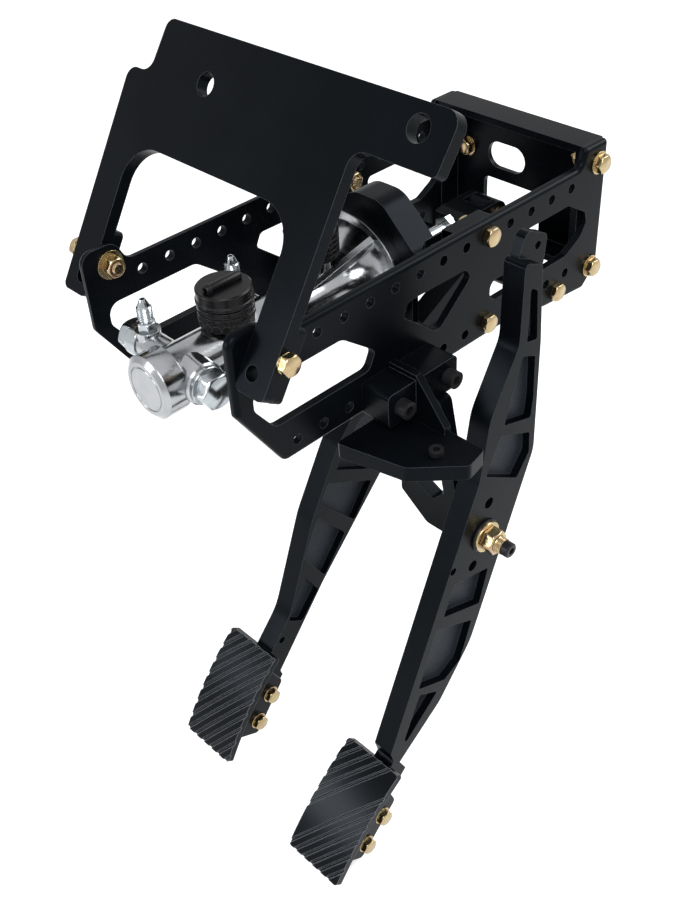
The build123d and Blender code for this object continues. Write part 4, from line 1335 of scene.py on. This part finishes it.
@dataclass(frozen=True)
class Studio:
    """Camera at the photograph's view, soft lamps, pale world and floor, in metres.

    Args:
        eye: Camera's place.
        right: Camera's right in the row frame.
        down: Camera's down in the row frame.
        focal: Focal length in pixels of the 683 by 911 frame.
        long_side: The frame's long side in pixels.
        sensor: Width of the camera's sensor, in millimetres.
        aim: What the lamps look at, near the object's middle.
        lamps: Name, place, side and watts of each lamp.
        ambient: Strength of the world's light on the object.
        pale: Grey of the floor.
        matt: Roughness of the floor.
        glow: The floor's own light where it is seen.
        half: Half the floor's side.
        drop: Gap between the part and the floor.
    """

    eye: Triple = (0.490, -0.4255, 0.4146)
    right: Triple = (0.6972, 0.7153, -0.0507)
    down: Triple = (0.4217, -0.4661, -0.7779)
    focal: float = 1142.2
    long_side: float = 911.0
    sensor: float = 36.0
    aim: Triple = (-0.05, 0.1, -0.15)
    lamps: tuple[tuple[str, Triple, float, float], ...] = (
        ("key", (1.1, -1.0, 1.5), 1.2, 34.0),
        ("left", (-0.87, -1.66, 0.38), 0.5, 12.0),
        ("rear", (0.6, 1.5, 1.1), 1.0, 22.0),
    )
    ambient: float = 0.55
    pale: float = 0.86
    matt: float = 0.9
    glow: float = 0.45
    half: float = 6.0
    drop: float = 0.001

    def camera(self) -> None:
        """Make the camera and set it as the scene's."""
        data = bpy.data.cameras.new("camera")
        data.sensor_width = self.sensor
        data.lens = self.focal / self.long_side * self.sensor
        right = Vector(self.right).normalized()
        up = -Vector(self.down)
        up = (up - right * up.dot(right)).normalized()
        turn = Matrix((right, up, right.cross(up))).transposed().to_4x4()
        camera = added("camera", data)
        camera.matrix_world = Matrix.Translation(self.eye) @ turn
        bpy.context.scene.camera = camera

    def _light(self) -> None:
        """Add the soft lamps, each turned to the object."""
        for name, place, side, watts in self.lamps:
            data = bpy.data.lights.new(name, "AREA")
            data.size = side
            data.energy = watts
            lamp = added(name, data)
            lamp.location = place
            lamp.rotation_euler = (Vector(self.aim) - Vector(place)).to_track_quat("-Z", "Y").to_euler()

    @staticmethod
    def _seen(tree: Tree) -> Socket:
        """1 for rays from the camera, from gloss and through glass, else 0.

        Args:
            tree: The material's or world's node tree.

        Returns:
            The value's socket.
        """
        path = tree.nodes.new("ShaderNodeLightPath").outputs
        seen = maths(tree, "MAXIMUM", path["Is Camera Ray"], path["Is Glossy Ray"])
        return maths(tree, "MAXIMUM", seen, path["Is Transmission Ray"])

    def _world(self) -> None:
        """White where the camera, gloss and glass look, and a soft level elsewhere."""
        world = bpy.data.worlds.new("studio")
        world.use_nodes = True
        tree = world.node_tree
        back = tree.nodes["Background"]
        back.inputs["Color"].default_value = (1.0, 1.0, 1.0, 1.0)
        strength = ranged(tree, self._seen(tree), (0.0, 1.0), (self.ambient, 1.0))
        tree.links.new(strength, back.inputs["Strength"])
        bpy.context.scene.world = world

    def _floor(self) -> None:
        """Pale floor under the lowest point, which keeps the shadow."""
        low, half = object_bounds()[0].z - self.drop, self.half
        mesh = bpy.data.meshes.new("floor")
        corners = [(-half, -half, low), (half, -half, low), (half, half, low), (-half, half, low)]
        mesh.from_pydata(corners, [], [(0, 1, 2, 3)])
        floor = added("floor", mesh)
        material = bpy.data.materials.new("pale_floor")
        material.use_nodes = True
        tree = material.node_tree
        shader = tree.nodes["Principled BSDF"]
        shader.inputs["Base Color"].default_value = (self.pale, self.pale, self.pale, 1.0)
        shader.inputs["Roughness"].default_value = self.matt
        shader.inputs["Emission Color"].default_value = (1.0, 1.0, 1.0, 1.0)
        glow = maths(tree, "MULTIPLY", self._seen(tree), self.glow)
        tree.links.new(glow, shader.inputs["Emission Strength"])
        mesh.materials.append(material)
        floor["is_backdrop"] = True

    def build(self) -> None:
        """Light the scene and set its view transform."""
        self._light()
        self._world()
        self._floor()
        bpy.context.scene.view_settings.view_transform = "Standard"


def pads() -> tuple[Pad, Pad]:
    """The brake pad and the throttle pad.

    Returns:
        The two, not yet built.
    """
    brake = Pad(
        "brake_pad", "brake_pedal", left=MID - 35.9, top=(-25.0, -357.0), run=(-0.6258, -0.78),
        bolts=(40.0, 68.0), lug_left=MID + ARM / 2,
        lug=((12.0, 1.5), (88.0, 1.5), (82.0, 34.0), (26.0, 34.0)),
        grooves=tuple(8.6 * step for step in range(-6, 7)),
    )
    throttle = Pad(
        "throttle_pad", "throttle_pedal", left=29.0, top=(-24.0, -385.0), run=(-0.7247, -0.6889),
        bolts=(43.0, 71.0), lug_left=THROTTLE_LEFT + ARM,
        lug=((12.0, 1.5), (92.0, 1.5), (86.0, 34.0), (28.0, 34.0), (20.0, 16.0)),
        grooves=(-46.0, -38.0, -30.0, -22.0, -14.0, -6.0, 16.0, 24.6, 33.2, 42.0, 50.5),
    )
    return brake, throttle


def main() -> None:
    """Build the studio's camera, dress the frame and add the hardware."""
    logging.basicConfig(level=logging.INFO)
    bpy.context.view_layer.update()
    studio = Studio()
    studio.camera()
    finishes = Finishes()
    materials = finishes.by_slot()
    special = finishes.dress(materials)
    MilledParts(materials["black_anodised"], special).build()
    for pad in pads():
        pad.build(special["pads"])
    fasteners = Fasteners(materials)
    for hardware in (FrameHardware, PedalHardware, CylinderFittings, Inlets):
        hardware(fasteners).build()
    studio.build()


if __name__ == "__main__":
    main()
